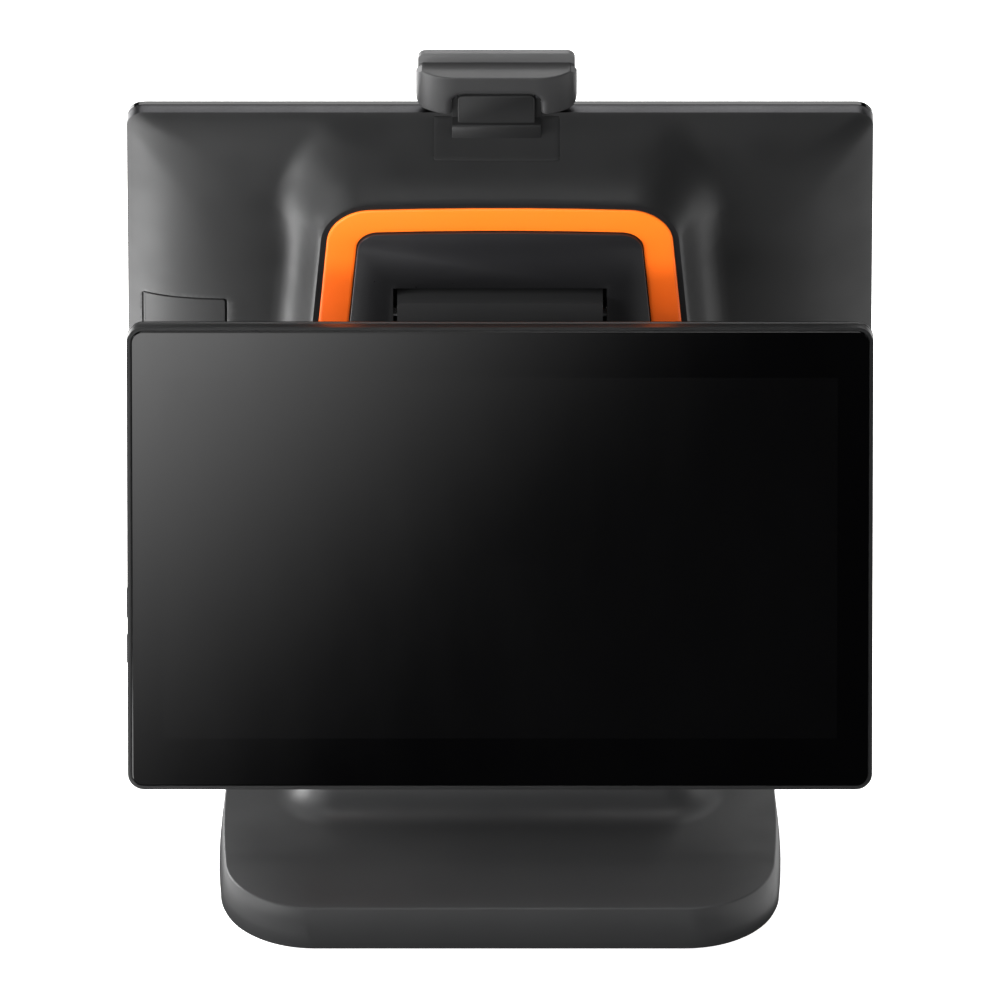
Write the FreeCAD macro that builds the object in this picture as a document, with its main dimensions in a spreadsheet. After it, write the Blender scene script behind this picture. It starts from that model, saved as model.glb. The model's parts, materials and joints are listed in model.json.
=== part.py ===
import FreeCAD, Part
import math
import os
import Sketcher

# Point-of-sale touchscreen terminal: a weighted base with a neck, an operator display that tilts on
# the neck's head, a customer display that tilts on an arm, a tilting camera, a service door and two
# buttons. Millimetres, +Z up, customer side towards -Y, origin on the counter under the middle of
# the whole terminal.
#
# Both displays are drawn in their own upright frame: x across, z up from the screen's centre, and
# depth p = -y measured backwards from the front of the glass.

Vector = FreeCAD.Vector
Rotation = FreeCAD.Rotation
Placement = FreeCAD.Placement
X_AXIS = Vector(1, 0, 0)
Y_AXIS = Vector(0, 1, 0)
Z_AXIS = Vector(0, 0, 1)

DIMENSIONS = [
    ("display_width", 380.5, "outside width of both displays"),
    ("display_height", 248.0, "outside height of both displays"),
    ("display_corner", 9.0, "corner radius of both displays"),
    ("main_glass_depth", 3.0, "main cover glass thickness"),
    ("main_frame_depth", 5.6, "main mid frame thickness"),
    ("main_frame_wall", 10.0, "main mid frame width"),
    ("panel_width", 359.5, "LCD panel width, 15.6 inch class"),
    ("panel_height", 223.8, "LCD panel height"),
    ("panel_depth", 5.2, "LCD panel thickness"),
    ("chassis_width", 362.4, "main chassis plate width"),
    ("chassis_height", 229.8, "main chassis plate height"),
    ("chassis_depth", 1.2, "main chassis plate thickness"),
    ("cover_edge_level", 8.6, "depth at which the main rear cover starts"),
    ("cover_rise", 10.4, "height of the rear cover's pillow above its edge"),
    ("cover_reach", 17.0, "decay length of the pillow from its edge"),
    ("cover_wall", 2.0, "rear cover wall"),
    ("hump_level", 40.0, "depth of the hump's plateau"),
    ("ring_top", 37.6, "ring's top edge below the display's top edge"),
    ("ring_half_width", 86.7, "ring's half width at its top"),
    ("ring_splay", 0.0772, "ring's sideways growth per millimetre down"),
    ("ring_foot", 214.0, "hump plateau's bottom below the display's top edge"),
    ("ring_leg_end", 205.0, "ring's leg ends below the display's top edge"),
    ("ring_corner", 22.0, "ring's outer corner radius"),
    ("ring_width", 15.5, "width of the ring's band"),
    ("ring_groove", 3.0, "depth of the ring's groove"),
    ("ring_proud", 0.8, "ring's height above the plateau"),
    ("ring_border", 3.6, "plateau border outside the ring"),
    ("centre_panel_depth", 2.0, "centre panel thickness"),
    ("pocket_half_width", 54.5, "half width of the pocket for the neck's head"),
    ("pocket_top", 92.6, "pocket's top below the display's top edge"),
    ("pocket_floor", 15.0, "depth of the pocket's floor"),
    ("main_axis_down", 118.0, "main hinge axis below the display's top edge"),
    ("main_axis_depth", 30.0, "main hinge axis depth behind the glass"),
    ("main_tilt", 12.4, "main display's lean at rest, degrees"),
    ("main_y", 88.2, "main screen centre behind the base's centre"),
    ("main_z", 300.6, "main screen centre above the counter"),
    ("customer_tilt", 13.8, "customer display's lean at rest, degrees"),
    ("customer_y", -43.1, "customer screen centre behind the base's centre"),
    ("customer_z", 211.6, "customer screen centre above the counter"),
    ("customer_glass_width", 376.0, "customer cover glass width"),
    ("customer_glass_height", 243.6, "customer cover glass height"),
    ("customer_glass_depth", 2.0, "customer cover glass thickness"),
    ("customer_frame_front", 0.8, "depth of the customer frame's front edge"),
    ("customer_frame_back", 7.4, "depth of the customer frame's back edge"),
    ("customer_rim_level", 12.0, "depth of the customer rear cover's straight edge"),
    ("customer_back_level", 20.0, "depth of the customer rear cover's flat back"),
    ("customer_axis_depth", 36.0, "customer hinge axis depth behind the glass"),
    ("base_y", -15.5, "base centre, so that the origin is under the whole terminal's middle"),
    ("base_half_width", 144.2, "base half width at the bottom"),
    ("base_half_depth", 83.8, "base half depth at the bottom"),
    ("base_draft", 2.1, "inward lean of the base walls over their height"),
    ("base_barrel", 1.0, "bulge of the base sides"),
    ("base_corner", 48.2, "base corner radius"),
    ("base_bottom", 1.6, "gap under the base cover"),
    ("base_top", 25.2, "base top height"),
    ("base_wall", 2.6, "base cover wall"),
    ("neck_foot_half", 97.0, "neck half width above its flared foot"),
    ("neck_half", 52.5, "neck half width at its head"),
    ("neck_flare", 20.0, "radius of the neck's flared foot"),
    ("neck_wall", 2.4, "neck cover wall"),
    ("neck_split", 60.0, "height where the base cover meets the neck covers"),
    ("pin_radius", 4.0, "hinge pin radius"),
    ("pin_clearance", 0.05, "radial clearance of a hinge pin"),
    ("foot_radius", 9.0, "rubber foot radius"),
    ("foot_height", 3.2, "rubber foot height"),
    ("camera_width", 82.0, "camera housing width"),
    ("camera_centre", -1.8, "camera centre, X"),
    ("camera_bottom", -3.5, "camera's bottom edge below the display's top edge"),
    ("camera_housing_top", -29.8, "camera housing's top edge, same measure"),
    ("camera_bezel_top", -36.2, "camera bezel's top edge, same measure"),
    ("camera_bezel_depth", 3.0, "camera bezel thickness"),
    ("camera_back", 13.6, "depth of the camera housing's back"),
    ("camera_back_flat", 20.0, "half width of the flat part of the housing's back"),
    ("camera_axis_down", -14.0, "camera hinge axis below the display's top edge"),
    ("camera_axis_depth", 8.0, "camera hinge axis depth"),
    ("camera_arm_width", 39.4, "camera bracket arm width"),
    ("door_left", -182.5, "service door's hinge edge, X"),
    ("door_width", 42.0, "service door width"),
    ("door_top", 123.0, "service door's top below the display's top edge"),
    ("door_height", 80.0, "service door height"),
    ("door_skin", 1.8, "service door skin"),
    ("button_height", 3.2, "button size across the frame"),
    ("power_button_length", 15.6, "power button length"),
    ("power_button_z", -24.6, "power button centre above the screen's centre"),
    ("volume_button_length", 14.8, "volume button length"),
    ("volume_button_z", -49.3, "volume button centre above the screen's centre"),
    ("button_proud", 0.4, "button height above the frame's side"),
]

doc = FreeCAD.newDocument("pos_terminal")
sheet = doc.addObject("Spreadsheet::Sheet", "Sizes")
for row, (alias, value, meaning) in enumerate(DIMENSIONS, start=1):
    sheet.set("A%d" % row, meaning)
    sheet.set("B%d" % row, str(value))
    sheet.setAlias("B%d" % row, alias)
doc.recompute()


def size(alias):
    """A number from the sheet."""
    return float(getattr(sheet, alias))


def value(expression):
    """The number an expression over the sheet gives."""
    return float(sheet.evalExpression(str(expression)))


HALF_HEIGHT = size("display_height") / 2
# the stand's own frame has its origin under the base's centre; both displays are placed in it
STAND = Placement(Vector(0, size("base_y"), 0), Rotation())
MAIN_ON_STAND = Placement(
    Vector(0, size("main_y"), size("main_z")),
    Rotation(X_AXIS, size("main_tilt")),
)
CUSTOMER_ON_STAND = Placement(
    Vector(0, size("customer_y"), size("customer_z")),
    Rotation(Z_AXIS, 180) * Rotation(X_AXIS, size("customer_tilt")),
)
MAIN = STAND * MAIN_ON_STAND
CUSTOMER = STAND * CUSTOMER_ON_STAND
exported = []


# ---------------------------------------------------------------- helpers: sketches and features
def new_body(label, placement):
    body = doc.addObject("PartDesign::Body", label)
    body.Label = label
    body.Placement = placement
    exported.append(body)
    return body


def add_sketch(body, name, role, across="0", up="0", level="0"):
    """A sketch on one of the body's own origin planes, moved across, up and along its normal."""
    sketch = body.newObject("Sketcher::SketchObject", name)
    plane = next(item for item in body.Origin.OriginFeatures if item.Role == role)
    sketch.AttachmentSupport = [(plane, "")]
    sketch.MapMode = "FlatFace"
    sketch.setExpression("AttachmentOffset.Base.x", str(across))
    sketch.setExpression("AttachmentOffset.Base.y", str(up))
    sketch.setExpression("AttachmentOffset.Base.z", str(level))
    return sketch


def drive(sketch, constraint, expression):
    index = sketch.addConstraint(constraint)
    sketch.setExpression("Constraints[%d]" % index, str(expression))


def draw_rounded_rectangle(sketch, width, height, radius):
    """Fully constrained rounded rectangle centred on the sketch's origin."""
    w = value(width) / 2
    h = value(height) / 2
    r = value(radius)
    corners = [(w - r, -h + r, -90), (w - r, h - r, 0), (-w + r, h - r, 90), (-w + r, -h + r, 180)]
    sides = [
        ((-w + r, -h), (w - r, -h)),
        ((w, -h + r), (w, h - r)),
        ((w - r, h), (-w + r, h)),
        ((-w, h - r), (-w, -h + r)),
    ]
    edges = []
    for (start, end), (cx, cy, angle) in zip(sides, corners):
        edges.append(sketch.addGeometry(Part.LineSegment(Vector(*start, 0), Vector(*end, 0)), False))
        circle = Part.Circle(Vector(cx, cy, 0), Z_AXIS, r)
        arc = Part.ArcOfCircle(circle, math.radians(angle), math.radians(angle + 90))
        edges.append(sketch.addGeometry(arc, False))
    for i in range(8):
        sketch.addConstraint(Sketcher.Constraint("Tangent", edges[i], 2, edges[(i + 1) % 8], 1))
    for i in (0, 4):
        sketch.addConstraint(Sketcher.Constraint("Horizontal", edges[i]))
    for i in (2, 6):
        sketch.addConstraint(Sketcher.Constraint("Vertical", edges[i]))
    for i in (3, 5, 7):
        sketch.addConstraint(Sketcher.Constraint("Equal", edges[1], edges[i]))
    sketch.addConstraint(Sketcher.Constraint("Symmetric", edges[0], 1, edges[4], 1, -1, 1))
    drive(sketch, Sketcher.Constraint("Radius", edges[1], r), radius)
    drive(sketch, Sketcher.Constraint("DistanceX", edges[6], 1, edges[2], 1, 2 * w), width)
    drive(sketch, Sketcher.Constraint("DistanceY", edges[0], 1, edges[4], 1, 2 * h), height)


def draw_circle(sketch, radius):
    circle = sketch.addGeometry(Part.Circle(Vector(0, 0, 0), Z_AXIS, value(radius)), False)
    sketch.addConstraint(Sketcher.Constraint("Coincident", circle, 3, -1, 1))
    drive(sketch, Sketcher.Constraint("Radius", circle, value(radius)), radius)


def add_pad(body, sketch, length):
    pad = body.newObject("PartDesign::Pad", sketch.Label + "_pad")
    pad.Profile = sketch
    pad.setExpression("Length", str(length))
    sketch.Visibility = False
    doc.recompute()
    return pad


def add_pocket(body, sketch, length):
    """Cuts against the sketch's normal, and stops the build if nothing was removed."""
    before = body.Shape.Volume
    pocket = body.newObject("PartDesign::Pocket", sketch.Label + "_pocket")
    pocket.Profile = sketch
    pocket.Reversed = False
    pocket.setExpression("Length", str(length))
    sketch.Visibility = False
    doc.recompute()
    if body.Shape.Volume >= before - 1e-6:
        raise RuntimeError("pocket removed nothing: " + body.Label)
    return pocket


def plate(label, placement, outline, start, depth, centre=("0", "0"), role="XZ_Plane"):
    """A flat plate with rounded corners, padded along its plane's normal from start by depth."""
    body = new_body(label, placement)
    sketch = add_sketch(body, label + "_outline", role, centre[0], centre[1], start)
    draw_rounded_rectangle(sketch, *outline)
    add_pad(body, sketch, depth)
    return body


def window(body, name, outline, end, depth, centre=("0", "0"), role="XZ_Plane"):
    """A rounded rectangular opening cut back from the level end over depth."""
    sketch = add_sketch(body, name, role, centre[0], centre[1], end)
    draw_rounded_rectangle(sketch, *outline)
    add_pocket(body, sketch, depth)


def round_hole(body, name, radius, end, depth, centre=("0", "0"), role="XZ_Plane"):
    sketch = add_sketch(body, name, role, centre[0], centre[1], end)
    draw_circle(sketch, radius)
    add_pocket(body, sketch, depth)


def feature(label, shape, placement):
    """A part whose form is made of surfaces or of several solids, built from the sheet's numbers."""
    item = doc.addObject("Part::Feature", label)
    item.Label = label
    item.Shape = shape
    item.Placement = placement
    exported.append(item)
    return item


# ---------------------------------------------------------------- helpers: shapes
def rounded_polygon(points, radii, place):
    """Closed wire through 2-D points with rounded corners; place maps (u, v) to a 3-D point."""
    count = len(points)
    arcs = []
    for i in range(count):
        px, py = points[i - 1]
        cx, cy = points[i]
        nx, ny = points[(i + 1) % count]
        to_previous = Vector(px - cx, py - cy, 0).normalize()
        to_next = Vector(nx - cx, ny - cy, 0).normalize()
        half = to_previous.getAngle(to_next) / 2
        radius = radii[i]
        reach = radius / math.tan(half)
        corner = Vector(cx, cy, 0)
        centre = corner + (to_previous + to_next).normalize() * (radius / math.sin(half))
        middle = centre + (corner - centre).normalize() * radius
        arcs.append((corner + to_previous * reach, middle, corner + to_next * reach))
    edges = []
    for i in range(count):
        start, middle, end = (place(point.x, point.y) for point in arcs[i])
        following = place(arcs[(i + 1) % count][0].x, arcs[(i + 1) % count][0].y)
        edges.append(Part.Arc(start, middle, end).toShape())
        edges.append(Part.makeLine(end, following))
    return Part.Wire(edges)


def at_depth(p):
    """Places display outlines: (x, distance below the display's top edge) at depth p."""
    return lambda x, down: Vector(x, -p, HALF_HEIGHT - down)


def slab(x0, x1, down0, down1, p0, p1):
    """A box in a display's frame."""
    low = Vector(min(x0, x1), -max(p0, p1), HALF_HEIGHT - max(down0, down1))
    return Part.makeBox(abs(x1 - x0), abs(p1 - p0), abs(down1 - down0), low)


def extrude(wire, vector):
    return Part.Face(wire).extrude(vector)


def rod_x(x0, x1, radius, y, z):
    return Part.makeCylinder(radius, x1 - x0, Vector(x0, y, z), X_AXIS)


def fuse_all(shapes):
    result = shapes[0]
    for shape in shapes[1:]:
        result = result.fuse(shape)
    return result.removeSplitter()


def display_outline(inset, p, radius):
    w = size("display_width") / 2 - inset
    points = [(-w, inset), (w, inset), (w, 2 * HALF_HEIGHT - inset), (-w, 2 * HALF_HEIGHT - inset)]
    return rounded_polygon(points, [radius] * 4, at_depth(p))


# ---------------------------------------------------------------- main display: rear cover forms
def pillow_level(inset):
    """Depth of the rear cover's surface at a distance from its edge."""
    rise = size("cover_rise") * (1 - math.exp(-inset / size("cover_reach")))
    return size("cover_edge_level") + rise


def pillow(inset, sink, base):
    """The pillow-shaped block; inset and sink shrink it for the inside of the shell."""
    wires = [display_outline(inset, base, size("display_corner") - inset * 0.6)] if inset else []
    for step in (0.0, 2.5, 6.0, 11.0, 18.0, 28.0, 42.0):
        radius = size("display_corner") + 0.2 * step
        wires.append(display_outline(inset + step, pillow_level(step) - sink, radius))
    return Part.makeLoft(wires, True, True)


def hump_outline(outset, p, drop=0.0):
    """Outline around the ring: straight top, sides splayed downwards, rounded corners."""
    top = size("ring_top") - outset
    foot = size("ring_foot") + outset + drop
    upper = size("ring_half_width") + outset
    lower = upper + size("ring_splay") * (size("ring_foot") + drop - size("ring_top"))
    points = [(-upper, top), (upper, top), (lower, foot), (-lower, foot)]
    corner = max(size("ring_corner") + outset, 11.0)
    return rounded_polygon(points, [corner] * 4, at_depth(p))


HUMP_STEPS = [(27.0, 12.0), (22.0, 18.0), (17.0, 20.6), (12.0, 25.2), (8.6, 30.6), (6.0, 36.4), (4.4, 39.2)]


def hump(shrink, level):
    """The raised block under the ring; shrink gives the inside of the shell."""
    wires = []
    for outset, p in HUMP_STEPS:
        wires.append(hump_outline(outset - shrink, p - 0.4 * shrink))
    wires.append(hump_outline(size("ring_border") - shrink, level))
    return Part.makeLoft(wires, True, True)


LEG_DROP = 60.0


def ring_prism(outer, inner, p0, p1, leg_end):
    """The upside-down U between two outlines, from depth p0 to p1, open between its legs."""
    outside = extrude(hump_outline(outer, p0), Vector(0, p0 - p1, 0))
    inside = extrude(hump_outline(inner, p0, LEG_DROP), Vector(0, p0 - p1, 0))
    below = slab(-200, 200, leg_end, 2 * HALF_HEIGHT + 60, p0 - 1, p1 + 1)
    return outside.cut(inside).cut(below)


def ring_inset():
    return -size("ring_width")


pillow_outside = pillow(0.0, 0.0, 0.0)
hump_outside = hump(0.0, size("hump_level"))
cover_outside = pillow_outside.fuse(hump_outside)

# The door and the camera's foot plate are pieces of the same pillow surface, cut out of it.
door_left = size("door_left")
door_right = door_left + size("door_width")
door_top = size("door_top")
door_foot = door_top + size("door_height")
PRY_GAP = 1.6
EDGE_GAP = 0.4
KNUCKLE = 1.05
STUB = 0.6
DOOR_SEAT = 10.7
door_axis_x = door_left + KNUCKLE
door_axis_p = pillow_level(size("display_width") / 2 + door_axis_x) - KNUCKLE
camera_x = size("camera_centre")
FOOT_PLATE_HALF = 32.0
FOOT_PLATE_DOWN = 22.5


def skin_piece(x0, x1, down0, down1, thickness):
    """A piece of the pillow's skin between two outlines."""
    block = slab(x0, x1, down0, down1, 0, 60)
    inner = pillow_outside.copy()
    inner.translate(Vector(0, thickness, 0))
    return pillow_outside.common(block).cut(inner)


def build_main_rear_cover():
    wall = size("cover_wall")
    half = size("pocket_half_width")
    top = size("pocket_top")
    floor = size("pocket_floor")
    level = size("hump_level")
    axis = size("main_axis_down")
    inside = pillow(wall, wall, size("cover_edge_level") - 4).fuse(hump(wall, level - wall))
    inside = inside.cut(slab(-half - wall, half + wall, top - wall, 300, floor - wall, 60))
    groove_floor = ring_prism(2.0, ring_inset() - 2.0, level - size("ring_groove") - wall, level,
                              size("ring_leg_end") + 2)
    inside = inside.cut(groove_floor)
    bay = slab(door_left - 2.5, door_right + 3.5, door_top - 2.5, door_foot + 2.5, 9.9, 30)
    inside = inside.cut(bay)
    cover = cover_outside.cut(inside)
    cover = cover.cut(slab(-200, 200, -5, 300, -5, size("cover_edge_level")))
    cover = cover.cut(slab(-half, half, top, 300, floor, 60))
    cover = cover.cut(ring_prism(0.2, ring_inset() - 0.2, level - size("ring_groove"), level + 5,
                                 size("ring_leg_end") + 0.2))
    # service door: its seat, an opening for the port block, and two stub holes
    cover = cover.cut(slab(door_left - EDGE_GAP, door_right + PRY_GAP, door_top - EDGE_GAP,
                           door_foot + EDGE_GAP, DOOR_SEAT, 40))
    stub_z = HALF_HEIGHT - door_foot - 3.0
    stub_hole = Part.makeCylinder(STUB + 0.08, size("door_height") + 6.0,
                                  Vector(door_axis_x, -door_axis_p, stub_z), Z_AXIS)
    cover = cover.cut(stub_hole)
    cover = cover.cut(slab(door_left + 8, door_right - 6, door_top + 6, door_foot - 6, 5, 40))
    # camera foot plate: its seat in the top edge
    cover = cover.cut(slab(camera_x - FOOT_PLATE_HALF - 0.3, camera_x + FOOT_PLATE_HALF + 0.3, -1,
                           FOOT_PLATE_DOWN + 0.3, 8.4, 60).cut(camera_seat))
    # hinge pins pass through the pocket's side walls
    pin_hole = rod_x(-half - 5, half + 5, size("pin_radius") + 1.0,
                     -size("main_axis_depth"), HALF_HEIGHT - axis)
    cover = cover.cut(pin_hole)
    # vents along the lower edge
    for i in range(-14, 15):
        if abs(i) > 6:
            x = i * 9.0
            cover = cover.cut(slab(x - 1.1, x + 1.1, 226, 240, 8.7, 40))
    return cover


camera_seat = pillow_outside.copy()
camera_seat.translate(Vector(0, 1.8, 0))

# ---------------------------------------------------------------- main display
plate("main_glass", MAIN,
      ("Sizes.display_width", "Sizes.display_height", "Sizes.display_corner"),
      "0", "Sizes.main_glass_depth")

frame = plate("main_frame", MAIN,
              ("Sizes.display_width", "Sizes.display_height", "Sizes.display_corner"),
              "Sizes.main_glass_depth", "Sizes.main_frame_depth")
window(frame, "main_frame_window",
       ("Sizes.display_width - 2 * Sizes.main_frame_wall",
        "Sizes.display_height - 2 * Sizes.main_frame_wall", "4"),
       "Sizes.cover_edge_level", "Sizes.main_frame_depth")

panel = plate("main_lcd_panel", MAIN, ("Sizes.panel_width", "Sizes.panel_height", "2"),
              "Sizes.main_glass_depth", "Sizes.panel_depth")
window(panel, "main_lcd_tray", ("Sizes.panel_width - 8", "Sizes.panel_height - 24", "1"),
       "Sizes.main_glass_depth + Sizes.panel_depth", "1.2", ("0", "6"))

chassis = plate("main_chassis_plate", MAIN,
                ("Sizes.chassis_width", "Sizes.chassis_height", "10"),
                "Sizes.cover_edge_level", "Sizes.chassis_depth")
for side, x in (("left", "-128"), ("right", "128")):
    window(chassis, "main_chassis_opening_" + side, ("60", "120", "6"),
           "Sizes.cover_edge_level + Sizes.chassis_depth", "Sizes.chassis_depth", (x, "20"))

feature("main_rear_cover", build_main_rear_cover(), MAIN)

ring = ring_prism(0.0, ring_inset(), size("hump_level") - size("ring_groove"),
                  size("hump_level") + size("ring_proud"), size("ring_leg_end"))
front_edges = [edge for edge in ring.Edges
               if edge.BoundBox.YMax < -(size("hump_level") + size("ring_proud")) + 0.01]
ring = ring.makeFillet(0.9, front_edges)
feature("ring_trim", ring, MAIN)


def build_centre_panel():
    half = size("pocket_half_width")
    level = size("hump_level")
    depth = size("centre_panel_depth")
    block = extrude(hump_outline(ring_inset() - 0.4, level, LEG_DROP), Vector(0, -depth, 0))
    block = block.cut(slab(-half, half, size("pocket_top"), 300, level - 1, level + 9))
    block = block.cut(slab(-200, 200, size("ring_leg_end"), 300, level - 1, level + 9))
    edges = [edge for edge in block.Edges if edge.BoundBox.YMax < -(level + depth) + 0.01]
    return block.makeFillet(0.7, edges)


feature("centre_panel", build_centre_panel(), MAIN)

plate("main_board", MAIN, ("150", "50", "2"), "15", "1.6", ("0", "62"))
standoffs = []
for x in (-69.0, 69.0):
    for z in (42.0, 82.0):
        standoffs.append(Part.makeCylinder(3.0, 15.0 - 9.8, Vector(x, -9.8, z), Vector(0, -1, 0)))
feature("board_standoffs", Part.makeCompound(standoffs), MAIN)


def build_heat_sink():
    base = Part.makeBox(84, 3.0, 40, Vector(-42, -20.4, 42))
    fins = [base]
    for i in range(12):
        fins.append(Part.makeBox(1.6, 11.0, 40, Vector(-42 + i * 7.49, -31.4, 42)))
    return fuse_all(fins)


feature("heat_sink", build_heat_sink(), MAIN)
plate("main_processor", MAIN, ("38", "30", "2"), "16.6", "0.8", ("0", "62"))

for side, x in (("left", "-128"), ("right", "128")):
    plate("speaker_" + side, MAIN, ("50", "16", "3"), "9.8", "3.8", (x, "-90.5"))


def build_main_hinge_bracket(sign):
    """A foot on the chassis plate and an ear around the pin, outside the pocket's side wall."""
    axis_z = HALF_HEIGHT - size("main_axis_down")
    axis_y = -size("main_axis_depth")
    foot = slab(sign * 57.5, sign * 84, 96, 146, 9.8, 12.4)
    ear = slab(sign * 57.5, sign * 61.0, 106, 130, 9.8, size("main_axis_depth"))
    boss = rod_x(min(sign * 57.5, sign * 61.0), max(sign * 57.5, sign * 61.0), 7.2, axis_y, axis_z)
    rib = slab(sign * 61.0, sign * 74.0, 116.5, 119.5, 12.4, 20)
    bracket = fuse_all([foot, ear, boss, rib])
    bore = rod_x(-70, 70, size("pin_radius") + size("pin_clearance"), axis_y, axis_z)
    bracket = bracket.cut(bore)
    for down in (101, 141):
        hole = Part.makeCylinder(2.1, 10, Vector(sign * 76, -5, HALF_HEIGHT - down), Vector(0, -1, 0))
        bracket = bracket.cut(hole)
    return bracket


feature("main_hinge_bracket_left", build_main_hinge_bracket(-1), MAIN)
feature("main_hinge_bracket_right", build_main_hinge_bracket(1), MAIN)


def screw(x, p, z, head_radius, head, shank_radius, shank):
    """A round-headed screw whose head stands behind depth p and whose shank goes forward."""
    head_solid = Part.makeCylinder(head_radius, head, Vector(x, -p, z), Vector(0, -1, 0))
    shank_solid = Part.makeCylinder(shank_radius, shank + 0.5, Vector(x, -p - 0.5, z), Y_AXIS)
    socket = Part.makeCylinder(head_radius * 0.45, head * 0.6,
                               Vector(x, -p - head, z), Y_AXIS)
    return head_solid.fuse(shank_solid).cut(socket).removeSplitter()


bracket_screws = []
for x in (-76.0, 76.0):
    for down in (101.0, 141.0):
        bracket_screws.append(screw(x, 12.4, HALF_HEIGHT - down, 3.4, 2.2, 2.0, 2.4))
feature("hinge_bracket_screws", Part.makeCompound(bracket_screws), MAIN)


def build_side_port_block():
    """Port block behind the service door: two flat sockets, a card slot and an audio jack."""
    block = slab(door_left + 8.4, door_right - 6.4, door_top + 6.4, door_foot - 6.4, 9.9, 12.2)
    x = (door_left + door_right) / 2 + 1
    for down in (door_top + 18, door_top + 32):
        block = block.cut(slab(x - 1.6, x + 1.6, down - 4.5, down + 4.5, 10.4, 14))
    block = block.cut(slab(x - 0.6, x + 0.6, door_top + 42, door_top + 54, 10.4, 14))
    jack = Part.makeCylinder(1.8, 4, Vector(x, -10.4, HALF_HEIGHT - door_top - 63), Vector(0, -1, 0))
    return block.cut(jack)


feature("side_port_block", build_side_port_block(), MAIN)

# ---------------------------------------------------------------- service door


def build_service_door():
    skin = skin_piece(door_left, door_right, door_top, door_foot, size("door_skin"))
    z0 = HALF_HEIGHT - door_foot
    knuckle = Part.makeCylinder(KNUCKLE, size("door_height"),
                                Vector(door_axis_x, -door_axis_p, z0), Z_AXIS)
    corner = slab(door_left - 1, door_axis_x, door_top - 1, door_foot + 1, 0, 40)
    stub = Part.makeCylinder(STUB, size("door_height") + 5.0,
                             Vector(door_axis_x, -door_axis_p, z0 - 2.5), Z_AXIS)
    return fuse_all([skin.cut(corner), knuckle, stub])


feature("service_door", build_service_door(), MAIN)

# ---------------------------------------------------------------- camera bracket and camera
CAMERA_AXIS_Z = HALF_HEIGHT - size("camera_axis_down")
CAMERA_AXIS_Y = -size("camera_axis_depth")


def build_camera_bracket():
    half = size("camera_arm_width") / 2
    foot_half = 22.7
    foot_plate = skin_piece(camera_x - FOOT_PLATE_HALF, camera_x + FOOT_PLATE_HALF, 0.2,
                            FOOT_PLATE_DOWN, 1.8)
    foot_plate = foot_plate.cut(slab(-100, 100, -5, 60, 0, 9.9))
    points = [(2.0, 9.9), (2.0, 16.6), (14.5, 17.2), (18.5, 15.4), (12.0, 12.6), (6.0, 10.4)]
    wire = Part.makePolygon([Vector(camera_x - foot_half, -p, HALF_HEIGHT - down)
                             for down, p in points + points[:1]])
    wedge = extrude(wire, Vector(2 * foot_half, 0, 0))
    arm = slab(camera_x - half, camera_x + half, size("camera_axis_down"), 3.6, 9.0, 12.2)
    barrel = rod_x(camera_x - half, camera_x + half, 4.2, CAMERA_AXIS_Y, CAMERA_AXIS_Z)
    bracket = fuse_all([foot_plate, wedge, arm, barrel])
    bore = rod_x(camera_x - 60, camera_x + 60, 1.5 + size("pin_clearance"), CAMERA_AXIS_Y, CAMERA_AXIS_Z)
    return bracket.cut(bore)


feature("camera_bracket", build_camera_bracket(), MAIN)


def camera_outline(half, top, bottom, radius_top, radius_bottom, p):
    points = [(camera_x - half, top), (camera_x + half, top), (camera_x + half, bottom),
              (camera_x - half, bottom)]
    return rounded_polygon(points, [radius_top, radius_top, radius_bottom, radius_bottom], at_depth(p))


def camera_section(inset):
    """The housing's D-shaped section: a flat back between two quarter ellipses."""
    flat = size("camera_back_flat")
    front = -size("camera_bezel_depth")
    reach = size("camera_width") / 2 - 0.5 - flat - inset
    rise = size("camera_back") + front - inset
    z = HALF_HEIGHT - size("camera_bottom") - 1
    left = Part.Ellipse(Vector(camera_x - flat, front, z), reach, rise)
    right = Part.Ellipse(Vector(camera_x + flat, front, z), reach, rise)
    wire = Part.Wire([
        Part.ArcOfEllipse(left, math.pi, 1.5 * math.pi).toShape(),
        Part.makeLine(Vector(camera_x - flat, front - rise, z), Vector(camera_x + flat, front - rise, z)),
        Part.ArcOfEllipse(right, 1.5 * math.pi, 2 * math.pi).toShape(),
        Part.makeLine(Vector(camera_x + flat + reach, front, z), Vector(camera_x - flat - reach, front, z)),
    ])
    return extrude(wire, Vector(0, 0, 40))


def housing_outline(inset, p):
    """The housing seen from behind: its shoulders draw in towards the bezel's top."""
    top = size("camera_housing_top") + inset
    bottom = size("camera_bottom") - inset
    half = size("camera_width") / 2 - 0.5 - inset
    shoulder = half - 3.2
    points = [(camera_x - shoulder, top), (camera_x + shoulder, top), (camera_x + half, top + 4.8),
              (camera_x + half, bottom), (camera_x - half, bottom), (camera_x - half, top + 4.8)]
    return rounded_polygon(points, [1.5, 1.5, 2.5, 5.0 - inset, 5.0 - inset, 2.5], at_depth(p))


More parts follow.
